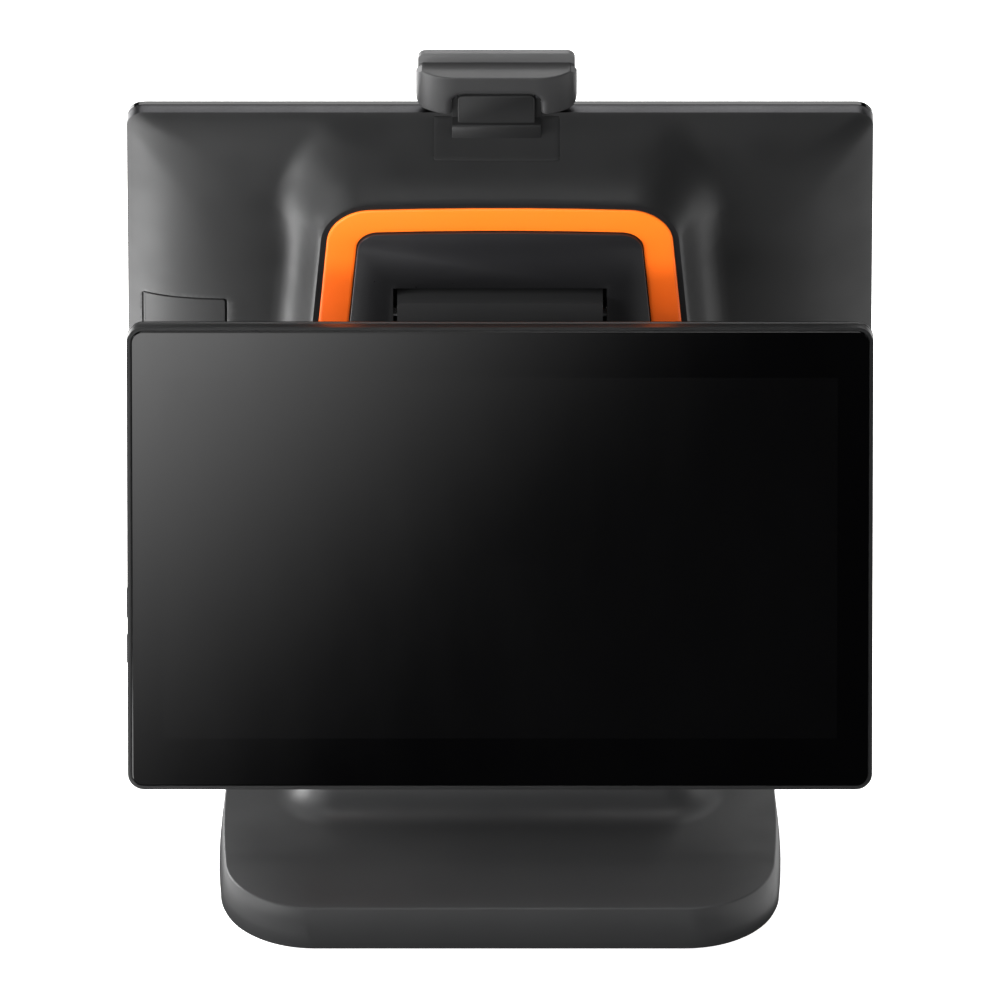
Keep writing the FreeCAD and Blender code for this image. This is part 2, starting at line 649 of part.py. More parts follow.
def build_camera_housing():
    bottom = size("camera_bottom")
    front = size("camera_bezel_depth")
    back = size("camera_back")
    wall = 1.5
    outside = extrude(housing_outline(0.0, front), Vector(0, -20, 0)).common(camera_section(0.0))
    inside = extrude(housing_outline(wall, front - 1), Vector(0, -20, 0))
    inner_section = camera_section(wall)
    opening = inner_section.copy()
    opening.translate(Vector(0, 1, 0))
    housing = outside.cut(inside.common(inner_section.fuse(opening)))
    axis_z = CAMERA_AXIS_Z
    for sign in (-1, 1):
        rib = slab(camera_x + sign * 23.2, camera_x + sign * 26.2, -20, bottom - 1, front + 0.2, back - 1)
        housing = housing.fuse(rib)
    hole = rod_x(camera_x - 24.9, camera_x + 24.9, 1.52, CAMERA_AXIS_Y, axis_z)
    housing = housing.cut(hole)
    cutout = extrude(camera_outline(22.85, -19.9, 10, 6.5, 1, 11), Vector(0, -10, 0))
    under = slab(camera_x - 22.85, camera_x + 22.85, bottom - 5, bottom + 5, 4.6, 20)
    return housing.cut(cutout).cut(under).removeSplitter()


feature("camera_housing", build_camera_housing(), MAIN)


def build_camera_bezel():
    half = size("camera_width") / 2
    depth = size("camera_bezel_depth")
    block = extrude(camera_outline(half, size("camera_bezel_top"), size("camera_bottom"), 4.5, 3, 0),
                    Vector(0, -depth, 0))
    recess = extrude(camera_outline(36, -31.5, -17, 4, 4, -1), Vector(0, -1.9, 0))
    lens_hole = Part.makeCylinder(5.3, 10, Vector(camera_x, 2, HALF_HEIGHT + 24.2), Vector(0, -1, 0))
    return block.cut(recess).cut(lens_hole)


feature("camera_bezel", build_camera_bezel(), MAIN)
feature("camera_window",
        extrude(camera_outline(35.8, -31.3, -17.2, 3.8, 3.8, 0), Vector(0, -0.85, 0)), MAIN)
camera_board = slab(camera_x - 31, camera_x + 31, -28.1, -20.6, 8.6, 9.6)
sensor = slab(camera_x - 5, camera_x + 5, -28.0, -20.6, 7.4, 8.6)
feature("camera_board", camera_board.fuse(sensor).removeSplitter(), MAIN)
lens = Part.makeCylinder(3.6, 5.2, Vector(camera_x, -2.1, HALF_HEIGHT + 24.3), Vector(0, -1, 0))
lens_front = Part.makeCylinder(4.9, 1.4, Vector(camera_x, -1.1, HALF_HEIGHT + 24.3), Vector(0, -1, 0))
feature("camera_lens", lens.fuse(lens_front).removeSplitter(), MAIN)
feature("camera_hinge_pin", rod_x(camera_x - 24.8, camera_x + 24.8, 1.5, CAMERA_AXIS_Y, CAMERA_AXIS_Z), MAIN)
washers = []
for x in (-22.9, 19.9):
    ring_solid = rod_x(camera_x + x, camera_x + x + 3.0, 3.4, CAMERA_AXIS_Y, CAMERA_AXIS_Z)
    washers.append(ring_solid.cut(rod_x(camera_x - 30, camera_x + 30, 1.53, CAMERA_AXIS_Y, CAMERA_AXIS_Z)))
feature("camera_friction_washers", Part.makeCompound(washers), MAIN)

# ---------------------------------------------------------------- customer display
plate("customer_glass", CUSTOMER,
      ("Sizes.customer_glass_width", "Sizes.customer_glass_height", "6"),
      "0", "Sizes.customer_glass_depth")

frame = plate("customer_frame", CUSTOMER,
              ("Sizes.display_width", "Sizes.display_height", "Sizes.display_corner - 0.5"),
              "Sizes.customer_frame_front", "Sizes.customer_frame_back - Sizes.customer_frame_front")
window(frame, "customer_frame_rebate",
       ("Sizes.customer_glass_width + 0.6", "Sizes.customer_glass_height + 0.6", "6.3"),
       "Sizes.customer_glass_depth", "Sizes.customer_glass_depth")
window(frame, "customer_frame_window",
       ("Sizes.panel_width + 1.5", "Sizes.panel_height + 1.5", "2.5"),
       "Sizes.customer_frame_back", "Sizes.customer_frame_back")
BUTTONS = [("power", "Sizes.power_button_z", "Sizes.power_button_length"),
           ("volume", "Sizes.volume_button_z", "Sizes.volume_button_length")]
BUTTON_DEPTH = "-(Sizes.customer_glass_depth + Sizes.customer_frame_back) / 2"
for name, height, length in BUTTONS:
    window(frame, name + "_button_slot", ("Sizes.button_height + 0.4", length + " + 0.4", "0.8"),
           "Sizes.display_width / 2 + 1", "8", (BUTTON_DEPTH, height), "YZ_Plane")
    window(frame, name + "_button_chamber", ("Sizes.button_height + 1.2", length + " + 3.4", "0.8"),
           "Sizes.display_width / 2 - 3", "8", (BUTTON_DEPTH, height), "YZ_Plane")
window(frame, "side_board_pocket", ("4.4", "60", "0.8"), "Sizes.display_width / 2 - 6.2", "4.6",
       (BUTTON_DEPTH, "-37"), "YZ_Plane")

for name, height, length in BUTTONS:
    button = plate(name + "_button", CUSTOMER,
                   ("Sizes.button_height", length, "1.2"),
                   "Sizes.display_width / 2 - 5", "5 + Sizes.button_proud",
                   (BUTTON_DEPTH, height), "YZ_Plane")
    flange = add_sketch(button, name + "_button_flange", "YZ_Plane", BUTTON_DEPTH, height,
                        "Sizes.display_width / 2 - 5.8")
    draw_rounded_rectangle(flange, "Sizes.button_height + 0.8", length + " + 3", "0.6")
    add_pad(button, flange, "1.6")

side_board = plate("side_button_board", CUSTOMER, ("3.6", "58", "0.8"),
                   "Sizes.panel_width / 2 + 0.6", "0.8", (BUTTON_DEPTH, "-37"), "YZ_Plane")
for name, height, length in BUTTONS:
    switch = add_sketch(side_board, name + "_switch", "YZ_Plane", BUTTON_DEPTH, height,
                        "Sizes.panel_width / 2 + 1.4")
    draw_rounded_rectangle(switch, "2.4", "4", "0.5")
    add_pad(side_board, switch, "2.4")

panel = plate("customer_lcd_panel", CUSTOMER, ("Sizes.panel_width", "Sizes.panel_height", "2"),
              "Sizes.customer_glass_depth", "Sizes.panel_depth")
window(panel, "customer_lcd_tray", ("Sizes.panel_width - 8", "Sizes.panel_height - 24", "1"),
       "Sizes.customer_glass_depth + Sizes.panel_depth", "1.2", ("0", "6"))
plate("customer_board", CUSTOMER, ("120", "56", "2"), "10", "1.6", ("0", "60"))


def customer_cover_solid(inset, sink):
    start = size("customer_frame_back")
    rim = size("customer_rim_level")
    steps = [(0.0, start + 0.5), (0.0, rim - 1.2), (0.35, rim - 0.4), (1.2, rim + 0.1)]
    for reach in (6.0, 14.0, 26.0, 42.0, 62.0):
        drop = math.exp(-reach / 17.0)
        steps.append((reach, rim + (size("customer_back_level") - rim) * (1 - drop)))
    steps[-1] = (62.0, size("customer_back_level"))
    wires = []
    for reach, p in steps:
        radius = max(size("display_corner") - 0.5 - inset * 0.5 + 0.2 * reach, 1.0)
        wires.append(display_outline(inset + reach, p - sink, radius))
    return Part.makeLoft(wires, True, True)


def build_customer_rear_cover():
    wall = 2.2
    start = size("customer_frame_back")
    lip = extrude(display_outline(0.8, start, 7.5), Vector(0, -0.6, 0))
    inside = customer_cover_solid(wall, wall)
    bottom = extrude(display_outline(wall, start - 1, 7.0), Vector(0, -2.0, 0))
    cover = customer_cover_solid(0, 0).fuse(lip).cut(inside).cut(bottom)
    for x in (-38.0, 38.0):
        for z in (-20.0, 20.0):
            boss = Part.makeCylinder(5.0, 9.0, Vector(x, -(size("customer_back_level") - 1), z), Y_AXIS)
            cover = cover.fuse(boss)
            hole = Part.makeCylinder(2.05, 9.0, Vector(x, -(size("customer_back_level") + 1), z), Y_AXIS)
            cover = cover.cut(hole)
    for i in range(-10, 11):
        x = i * 8.0
        cover = cover.cut(slab(x - 1.0, x + 1.0, 26, 40, size("customer_rim_level") + 3, 30))
    return cover.removeSplitter()


feature("customer_rear_cover", build_customer_rear_cover(), CUSTOMER)


def build_customer_hinge_plate():
    back = size("customer_back_level")
    axis = size("customer_axis_depth")
    base = extrude(rounded_polygon([(-48, HALF_HEIGHT - 29), (48, HALF_HEIGHT - 29),
                                    (48, HALF_HEIGHT + 29), (-48, HALF_HEIGHT + 29)],
                                   [5] * 4, at_depth(back)), Vector(0, -3.0, 0))
    pieces = [base]
    for sign in (-1, 1):
        x0 = min(sign * 29.0, sign * 33.0)
        ear = slab(x0, x0 + 4.0, HALF_HEIGHT - 8.5, HALF_HEIGHT + 8.5, back + 2, axis)
        pieces.append(ear)
        pieces.append(rod_x(x0, x0 + 4.0, 8.5, -axis, 0))
    solid = fuse_all(pieces)
    solid = solid.cut(rod_x(-40, 40, size("pin_radius") + 0.02, -axis, 0))
    for x in (-38.0, 38.0):
        for z in (-20.0, 20.0):
            hole = Part.makeCylinder(2.1, 6, Vector(x, -(back - 1), z), Vector(0, -1, 0))
            solid = solid.cut(hole)
    return solid


feature("customer_hinge_plate", build_customer_hinge_plate(), CUSTOMER)
plate_screws = []
for x in (-38.0, 38.0):
    for z in (-20.0, 20.0):
        plate_screws.append(screw(x, size("customer_back_level") + 3.0, z, 3.6, 2.4, 2.0, 7.0))
feature("hinge_plate_screws", Part.makeCompound(plate_screws), CUSTOMER)
customer_axis_y = -size("customer_axis_depth")
customer_pin = rod_x(-33.4, 33.4, size("pin_radius"), customer_axis_y, 0)
customer_pin = customer_pin.fuse(rod_x(33.4, 36.0, 6.5, customer_axis_y, 0))
customer_pin = customer_pin.fuse(rod_x(-36.0, -33.4, 6.5, customer_axis_y, 0))
feature("customer_hinge_pin", customer_pin.removeSplitter(), CUSTOMER)

# ---------------------------------------------------------------- stand: forms
main_axis_point = Vector(0, -size("main_axis_depth"), HALF_HEIGHT - size("main_axis_down"))
main_axis = MAIN_ON_STAND.multVec(main_axis_point)
customer_axis = CUSTOMER_ON_STAND.multVec(Vector(0, customer_axis_y, 0))


def base_outline(inset, z):
    """The base's plan: long front and rear lines, large corners, slightly barrelled sides."""
    w = size("base_half_width") - inset
    d = size("base_half_depth") - inset
    r = size("base_corner") - inset
    side = w - size("base_barrel")
    k = math.sqrt(0.5) * r
    edges = []
    for sign in (1, -1):
        start = Vector(-sign * (side - r), -sign * d, z)
        bend = Vector(sign * (side - r), -sign * d, z)
        bend_middle = Vector(sign * (side - r + k), -sign * (d - r + k), z)
        bend_end = Vector(sign * side, -sign * (d - r), z)
        side_middle = Vector(sign * w, 0, z)
        side_end = Vector(sign * side, sign * (d - r), z)
        corner_middle = Vector(sign * (side - r + k), sign * (d - r + k), z)
        corner_end = Vector(sign * (side - r), sign * d, z)
        edges.append(Part.makeLine(start, bend))
        edges.append(Part.Arc(bend, bend_middle, bend_end).toShape())
        edges.append(Part.Arc(bend_end, side_middle, side_end).toShape())
        edges.append(Part.Arc(side_end, corner_middle, corner_end).toShape())
    return Part.Wire(edges)


def neck_front(z):
    """Y of the neck's front face: from the foot up to the head's top front edge."""
    return 16.0 + (z - 44.0) * 0.0743


def neck_rear(z):
    return 60.0 + (z - 60.0) * 0.0438


def neck_half_width(z):
    """Half width: broad at the foot, narrowing smoothly to the head's width."""
    t = min(max((z - 44.0) / 126.0, 0.0), 1.0)
    blend = t * t * (3 - 2 * t)
    return size("neck_foot_half") + (size("neck_half") - size("neck_foot_half")) * blend


def neck_section(z, inset):
    rise = min(max(z - size("base_top"), 0.0), size("neck_flare"))
    r = size("neck_flare")
    flare = r - math.sqrt(max(r * r - (r - rise) ** 2, 0.0))
    level = max(z, 44.0)
    w = neck_half_width(level) - inset + flare
    front = neck_front(level) + inset - flare
    rear = neck_rear(level) - inset + min(flare, 14.0)
    t = min(max((z - 44.0) / 126.0, 0.0), 1.0)
    radius = 14.0 + (2.2 - 14.0) * t - 0.5 * inset + flare
    points = [(-w, front), (w, front), (w, rear), (-w, rear)]
    return rounded_polygon(points, [max(radius, 0.6)] * 4, lambda x, y: Vector(x, y, z))


FOOT_RISES = [0.0, 0.3, 1.0, 2.2, 4.0, 6.4, 9.4, 13.0, 20.0]
FOOT_LEVELS = [size("base_top") + rise for rise in FOOT_RISES] + [60.0]
NECK_LEVELS = [60.0, 75.0, 90.0, 107.0, 123.0, 139.0, 155.0, 170.0, 286.0]
HEAD_START = 286.0


def neck_head(inset, start):
    """The head's profile around the hinge axis, as wide as the neck's top."""
    half = size("neck_half") - inset
    front_top = Vector(-half, 36.2 + inset, 316.0 - inset)
    back_top = Vector(-half, 47.4, 318.5 - inset)
    reach = 13.5 - inset
    over = Vector(-half, main_axis.y + 0.42 * reach, main_axis.z + 0.95 * reach + 0.6)
    behind = Vector(-half, main_axis.y + reach, main_axis.z)
    rear = Vector(-half, neck_rear(start) - inset, start)
    front = Vector(-half, neck_front(start) + inset, start)
    edges = [
        Part.makeLine(front, front_top),
        Part.makeLine(front_top, back_top),
        Part.Arc(back_top, over, behind).toShape(),
        Part.makeLine(behind, rear),
        Part.makeLine(rear, front),
    ]
    return extrude(Part.Wire(edges), Vector(2 * half, 0, 0))


def neck_solid(inset):
    column = Part.makeLoft([neck_section(z, inset) for z in NECK_LEVELS], True, True)
    return column.fuse(neck_head(inset, HEAD_START - 0.01)).removeSplitter()


def neck_half_space(front):
    """Everything on one side of the neck's middle plane, above the base cover."""
    z0 = size("neck_split") + 0.2
    gap = -0.15 if front else 0.15
    low = 38.0 + (z0 - 16.0) * 0.0692 + gap
    high = 38.0 + (340.0 - 16.0) * 0.0692 + gap
    far = -200.0 if front else 200.0
    points = [Vector(-200, low, z0), Vector(-200, high, 340), Vector(-200, far, 340),
              Vector(-200, far, z0)]
    return extrude(Part.makePolygon(points + points[:1]), Vector(400, 0, 0))


def build_base_cover():
    wall = size("base_wall")
    bottom = size("base_bottom")
    top = size("base_top")
    draft = size("base_draft")
    outside = Part.makeLoft([base_outline(0.9, bottom), base_outline(0.0, bottom + 2.0),
                             base_outline(draft, top - 1.0), base_outline(draft + 0.3, top - 0.3),
                             base_outline(draft + 1.0, top)], True, True)
    foot = Part.makeLoft([neck_section(z, 0.0) for z in FOOT_LEVELS], True, True)
    inside = Part.makeLoft([base_outline(wall, bottom - 1), base_outline(wall + draft, top - wall)],
                           True, True)
    shaft_levels = [20.0] + FOOT_LEVELS[1:-1] + [61.0]
    shaft = Part.makeLoft([neck_section(z, size("neck_wall") + 0.4) for z in shaft_levels], True, True)
    # rear port recess: its walls stay inside, its space opens to the rear
    recess_walls = Part.makeBox(110, 20, 19.0, Vector(-55, 65.4, 4.0))
    inside = inside.cut(recess_walls)
    cover = outside.fuse(foot).cut(inside).cut(shaft)
    cover = cover.cut(Part.makeBox(104, 30, 13.4, Vector(-52, 67.4, 5.6)))
    cover = cover.cut(Part.makeBox(100, 8, 12.4, Vector(-50, 62.0, 6.1)))
    return cover.removeSplitter()


cover_solid = neck_solid(0.0).cut(neck_solid(size("neck_wall")))
pin_passage = rod_x(-80, 80, size("pin_radius") + 0.7, main_axis.y, main_axis.z)
cover_solid = cover_solid.cut(pin_passage)
arm_passage = Part.makeBox(63, 60, 33, Vector(-31.5, -10, 188.5))

feature("base_cover", build_base_cover(), STAND)
front_cover = cover_solid.common(neck_half_space(True)).cut(arm_passage)
feature("neck_front_cover", front_cover, STAND)
feature("neck_rear_cover", cover_solid.common(neck_half_space(False)), STAND)


def build_bottom_cover():
    inset = size("base_wall") + 0.6
    base_z = size("base_bottom")
    solid = extrude(base_outline(inset, base_z), Vector(0, 0, 2.2))
    for x, y in FOOT_POINTS:
        solid = solid.cut(Part.makeCylinder(size("foot_radius") + 0.2, 1.2, Vector(x, y, base_z - 0.4)))
    for x, y in BASE_SCREW_POINTS:
        solid = solid.cut(Part.makeCylinder(1.8, 5, Vector(x, y, base_z - 1)))
    return solid


FOOT_POINTS = [(x, y) for x in (-112, 112) for y in (-50, 50)]
BASE_SCREW_POINTS = [(x, y) for x in (-96, 0, 96) for y in (-66,)] + [(-96, 62), (96, 62)]
feature("base_bottom_cover", build_bottom_cover(), STAND)

weight = plate("base_weight_plate", STAND, ("236", "94", "14"), "3.9", "8", ("0", "-14"), "XY_Plane")
for x, y in (("-80", "-40"), ("80", "-40"), ("-80", "20"), ("80", "20")):
    round_hole(weight, "weight_plate_hole", "2.2", "12.9", "10", (x, y), "XY_Plane")

feet = []
for x, y in FOOT_POINTS:
    feet.append(Part.makeCylinder(size("foot_radius"), 2.3, Vector(x, y, 0)))
feature("rubber_feet", Part.makeCompound(feet), STAND)

base_screws = []
for x, y in BASE_SCREW_POINTS:
    shank = Part.makeCylinder(1.5, 9.0, Vector(x, y, 1.2))
    head = Part.makeCone(3.0, 1.7, 1.0, Vector(x, y, 0.6))
    base_screws.append(head.fuse(shank).removeSplitter())
feature("base_screws", Part.makeCompound(base_screws), STAND)


def build_neck_frame():
    """Steel frame: a foot on the weight plate, a leaning plate and two knuckles for the pins."""
    foot = Part.makeBox(150, 46, 3.0, Vector(-75, -4, 11.9))
    lean = 0.0692
    low = 38.0
    high = low + (main_axis.z - 16.0) * lean
    points = [Vector(-42, low - 2, 13), Vector(-42, high - 2, main_axis.z),
              Vector(-42, high + 2, main_axis.z), Vector(-42, low + 2, 13)]
    upright = extrude(Part.makePolygon(points + points[:1]), Vector(84, 0, 0))
    pieces = [foot, upright]
    for x in (-47.0, 37.0):
        pieces.append(rod_x(x, x + 10.0, 8.5, main_axis.y, main_axis.z))
    for x in (-42.0, 38.0):
        rib = [Vector(x, low, 14.5), Vector(x, low - 16, 14.5), Vector(x, low, 70)]
        pieces.append(extrude(Part.makePolygon(rib + rib[:1]), Vector(4, 0, 0)))
    frame_solid = fuse_all(pieces)
    bore = rod_x(-60, 60, size("pin_radius") + 0.02, main_axis.y, main_axis.z)
    frame_solid = frame_solid.cut(bore)
    window_y = low + (110 - 16) * lean
    cable_window = Part.makeBox(36, 30, 70, Vector(-18, window_y - 15, 75))
    return frame_solid.cut(cable_window)


neck_frame_shape = build_neck_frame()
feature("neck_frame", neck_frame_shape, STAND)

for side, sign in (("left", -1), ("right", 1)):
    inner, outer = sorted((sign * 38.0, sign * 61.4))
    pin = rod_x(inner, outer, size("pin_radius"), main_axis.y, main_axis.z)
    head_inner, head_outer = sorted((sign * 61.2, sign * 64.0))
    pin = pin.fuse(rod_x(head_inner, head_outer, 6.4, main_axis.y, main_axis.z))
    feature("main_hinge_pin_" + side, pin.removeSplitter(), STAND)


def build_customer_arm():
    """Cast arm from the neck frame to the customer display's hinge, with the hinge barrel."""
    y_back = 38.0 + (205.0 - 16.0) * 0.0692 - 2.0
    half = 28.0
    y0 = customer_axis.y
    z0 = customer_axis.z
    points = [(y0, z0 - 8.5), (y_back + 0.95, 191.5), (y_back - 0.75, 216.5), (y0, z0 + 8.5)]
    wire = Part.makePolygon([Vector(-half, y, z) for y, z in points + points[:1]])
    arm = extrude(wire, Vector(2 * half, 0, 0))
    barrel = rod_x(-half, half, 8.5, y0, z0)
    bore = rod_x(-60, 60, size("pin_radius") + size("pin_clearance"), y0, z0)
    solid = fuse_all([arm, barrel]).cut(bore)
    return solid.cut(neck_frame_shape)


feature("customer_arm", build_customer_arm(), STAND)

# ---------------------------------------------------------------- rear ports and cable
def build_rear_port_panel():
    panel_solid = Part.makeBox(99.6, 1.6, 12.0, Vector(-49.8, 65.6, 6.3))
    panel_solid = panel_solid.cut(Part.makeBox(12.4, 6, 8.2, Vector(-8.2, 63, 8.0)))
    for x in (16.0, 33.0):
        panel_solid = panel_solid.cut(Part.makeBox(13.0, 6, 5.4, Vector(x, 63, 9.2)))
    jack = Part.makeCylinder(4.4, 6, Vector(-34, 63, 12.2), Y_AXIS)
    return panel_solid.cut(jack)


feature("rear_port_panel", build_rear_port_panel(), STAND)
board = Part.makeBox(100, 26, 1.4, Vector(-50, 39.2, 3.9))
feature("port_board", board.cut(Part.makeBox(14, 8, 6, Vector(-7, 60, 2))), STAND)


def socket_shell(x, z, width, height, depth, wall):
    """A socket body open towards the rear."""
    block = Part.makeBox(width + 2 * wall, depth + wall, height + 2 * wall,
                         Vector(x - wall, 65.5 - depth - wall, z - wall))
    return block.cut(Part.makeBox(width, depth + 5, height, Vector(x, 65.5 - depth, z)))


feature("lan_socket", socket_shell(-8.0, 8.2, 12.0, 7.8, 12.0, 1.4), STAND)
usb_sockets = []
for x in (16.2, 33.2):
    shell = socket_shell(x, 9.4, 12.6, 5.0, 11.0, 0.5)
    tongue = Part.makeBox(11.0, 9.0, 1.9, Vector(x + 0.8, 54.0, 11.9))
    usb_sockets.append(shell.fuse(tongue).removeSplitter())
feature("usb_sockets", Part.makeCompound(usb_sockets), STAND)
inlet = Part.makeBox(12, 12, 11.4, Vector(-40, 53.5, 6.5))
inlet = inlet.cut(Part.makeCylinder(3.6, 10, Vector(-34, 56.5, 12.2), Y_AXIS))
inlet = inlet.fuse(Part.makeCylinder(1.0, 8, Vector(-34, 56.0, 12.2), Y_AXIS))
feature("power_inlet", inlet.removeSplitter(), STAND)


def build_neck_cable():
    """Flat display cable inside the neck, behind the frame's plate."""
    points = [Vector(-9, 45.0, 15.5), Vector(-9, 51.0, 90), Vector(-9, 58.0, 190), Vector(-9, 61.5, 262)]
    back = [point + Vector(0, 2.2, 0) for point in reversed(points)]
    outline = points + back
    return extrude(Part.makePolygon(outline + outline[:1]), Vector(18, 0, 0))


feature("neck_cable", build_neck_cable(), STAND)

# ---------------------------------------------------------------- checks and files
doc.recompute()
for item in doc.Objects:
    if "Invalid" in item.State or "Error" in item.State:
        raise RuntimeError("invalid object: " + item.Label)
os.makedirs("parts", exist_ok=True)
for item in exported:
    shape = item.Shape
    if shape.isNull() or not shape.isValid():
        raise RuntimeError("bad shape: " + item.Label)
    solids = len(shape.Solids)
    print("%-26s solids %d  volume %.1f cm3" % (item.Label, solids, shape.Volume / 1000.0))
    shape.exportStep("parts/" + item.Label + ".step")
print("main hinge axis", tuple(round(v, 3) for v in STAND.multVec(main_axis)))
print("customer hinge axis", tuple(round(v, 3) for v in STAND.multVec(customer_axis)))
camera_axis = MAIN.multVec(Vector(0, CAMERA_AXIS_Y, CAMERA_AXIS_Z))
print("camera hinge axis", tuple(round(v, 3) for v in camera_axis))
door_axis = MAIN.multVec(Vector(door_axis_x, -door_axis_p, 0))
print("door hinge axis", tuple(round(v, 3) for v in door_axis))
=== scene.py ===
import json
import math

import bmesh
import bpy
import numpy as np
from mathutils import Matrix, Vector, kdtree
from mathutils.geometry import delaunay_2d_cdt


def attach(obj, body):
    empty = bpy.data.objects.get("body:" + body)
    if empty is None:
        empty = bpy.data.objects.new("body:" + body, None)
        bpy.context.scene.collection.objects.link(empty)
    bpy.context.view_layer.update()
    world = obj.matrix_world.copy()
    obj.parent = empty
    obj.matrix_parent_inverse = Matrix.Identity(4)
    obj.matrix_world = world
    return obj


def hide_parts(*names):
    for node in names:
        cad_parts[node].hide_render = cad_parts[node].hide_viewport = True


# Point-of-sale touchscreen terminal seen from the customer's side. CAD nodes whose shape is right are
# refined copies (welded, edges rounded). The rear cover, ring, centre panel, door, camera housing,
# camera bracket and glasses are built here. Sizes below are millimetres in a display's own frame:
# x across, "down" from the display's top edge, and depth p behind the front of its glass.

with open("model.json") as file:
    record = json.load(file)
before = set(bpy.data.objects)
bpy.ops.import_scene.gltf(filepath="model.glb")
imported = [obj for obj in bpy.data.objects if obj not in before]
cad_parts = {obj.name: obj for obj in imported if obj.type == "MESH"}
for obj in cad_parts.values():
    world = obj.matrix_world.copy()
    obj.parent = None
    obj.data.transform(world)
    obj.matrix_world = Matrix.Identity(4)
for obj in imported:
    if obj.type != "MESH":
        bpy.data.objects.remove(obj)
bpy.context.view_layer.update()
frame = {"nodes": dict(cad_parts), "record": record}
NODES = frame["nodes"]
BODY_OF = {node: body for body, nodes in frame["record"]["behaviour"]["bodies"].items() for node in nodes}
SLOT_OF = {part["node"]: part["material_slot"] for part in frame["record"]["subparts"]}
MM = 0.001


# ---------------------------------------------------------------- frames of the two displays
def display_frame(node, side):
    """Placement of a display from its glass: y out of the glass, z up, origin mid-glass in front."""
    mesh = NODES[node].data
    front = max((f for f in mesh.polygons if f.normal.y * side > 0.5), key=lambda f: f.area)
    toward = front.normal.normalized()
    across = Vector((side, 0, 0))
    up = across.cross(toward).normalized()
    turn = Matrix((across, toward, up)).transposed()
    local = [turn.transposed() @ v.co for v in mesh.vertices]
    low = [min(v[i] for v in local) for i in range(3)]
    high = [max(v[i] for v in local) for i in range(3)]
    origin = turn @ Vector(((low[0] + high[0]) / 2, high[1], (low[2] + high[2]) / 2))
    size = [(high[i] - low[i]) / MM for i in range(3)]
    return Matrix.Translation(origin) @ turn.to_4x4(), size


MAIN, (MAIN_WIDTH, GLASS_DEPTH, MAIN_HEIGHT) = display_frame("main_glass", 1)
GUEST, (GUEST_WIDTH, GUEST_DEPTH, GUEST_HEIGHT) = display_frame("customer_glass", -1)
HALF_W = MAIN_WIDTH / 2
HALF = MAIN_HEIGHT / 2


def local_box(node, place):
    """Lowest and highest corner of a CAD node in a display's frame, in millimetres."""
    back = place.inverted()
    points = [back @ v.co / MM for v in NODES[node].data.vertices]
    return (Vector([min(p[i] for p in points) for i in range(3)]),
            Vector([max(p[i] for p in points) for i in range(3)]))


ring_low, ring_high = local_box("ring_trim", MAIN)
RING_HIGH = ring_high.z * MM
# Height below the ring's top over which its painted shade takes over.
RING_SHADE_SPAN = 62.0 * MM


# ---------------------------------------------------------------- materials
def node_tree(name, kind="ShaderNodeBsdfPrincipled"):
    material = bpy.data.materials.new(name)
    material.use_nodes = True
    tree = material.node_tree
    tree.nodes.clear()
    out = tree.nodes.new("ShaderNodeOutputMaterial")
    shader = tree.nodes.new(kind)
    tree.links.new(shader.outputs[0], out.inputs[0])
    return material, tree, shader


def place_in_object(tree):
    return tree.nodes.new("ShaderNodeTexCoord").outputs["Object"]


def noise(tree, scale, detail=3.0, stretch=(1, 1, 1), rough=0.55):
    mapping = tree.nodes.new("ShaderNodeMapping")
    mapping.inputs["Scale"].default_value = stretch
    tree.links.new(place_in_object(tree), mapping.inputs[0])
    texture = tree.nodes.new("ShaderNodeTexNoise")
    texture.inputs["Scale"].default_value = scale
    texture.inputs["Detail"].default_value = detail
    texture.inputs["Roughness"].default_value = rough
    tree.links.new(mapping.outputs[0], texture.inputs["Vector"])
    return texture.outputs["Fac"]


def span(tree, value, low, high, start=0.0, end=1.0):
    """Maps value from start..end to low..high."""
    node = tree.nodes.new("ShaderNodeMapRange")
    node.inputs["From Min"].default_value = start
    node.inputs["From Max"].default_value = end
    node.inputs["To Min"].default_value = low
    node.inputs["To Max"].default_value = high
    tree.links.new(value, node.inputs["Value"])
    return node.outputs[0]


def calculate(tree, operation, value, amount):
    node = tree.nodes.new("ShaderNodeMath")
    node.operation = operation
    node.inputs[1].default_value = amount
    tree.links.new(value, node.inputs[0])
    return node.outputs[0]


def mix_colour(tree, amount, a, b):
    node = tree.nodes.new("ShaderNodeMix")
    node.data_type = "RGBA"
    for socket, value in ((node.inputs["A"], a), (node.inputs["B"], b)):
        if isinstance(value, (tuple, list)):
            socket.default_value = (*value[:3], 1.0)
        else:
            tree.links.new(value, socket)
    tree.links.new(amount, node.inputs["Factor"])
    return node.outputs["Result"]


def edge_wear(tree):
    geometry = tree.nodes.new("ShaderNodeNewGeometry")
    return span(tree, geometry.outputs["Pointiness"], 0.0, 1.0, 0.53, 0.60)


def bump(tree, shader, heights):
    """Chains bumps; heights are (value, strength, distance in metres)."""
    last = None
    for value, strength, distance in heights:
        node = tree.nodes.new("ShaderNodeBump")
        node.inputs["Strength"].default_value = strength
        node.inputs["Distance"].default_value = distance
        tree.links.new(value, node.inputs["Height"])
        if last is not None:
            tree.links.new(last, node.inputs["Normal"])
        last = node.outputs[0]
    tree.links.new(last, shader.inputs["Normal"])


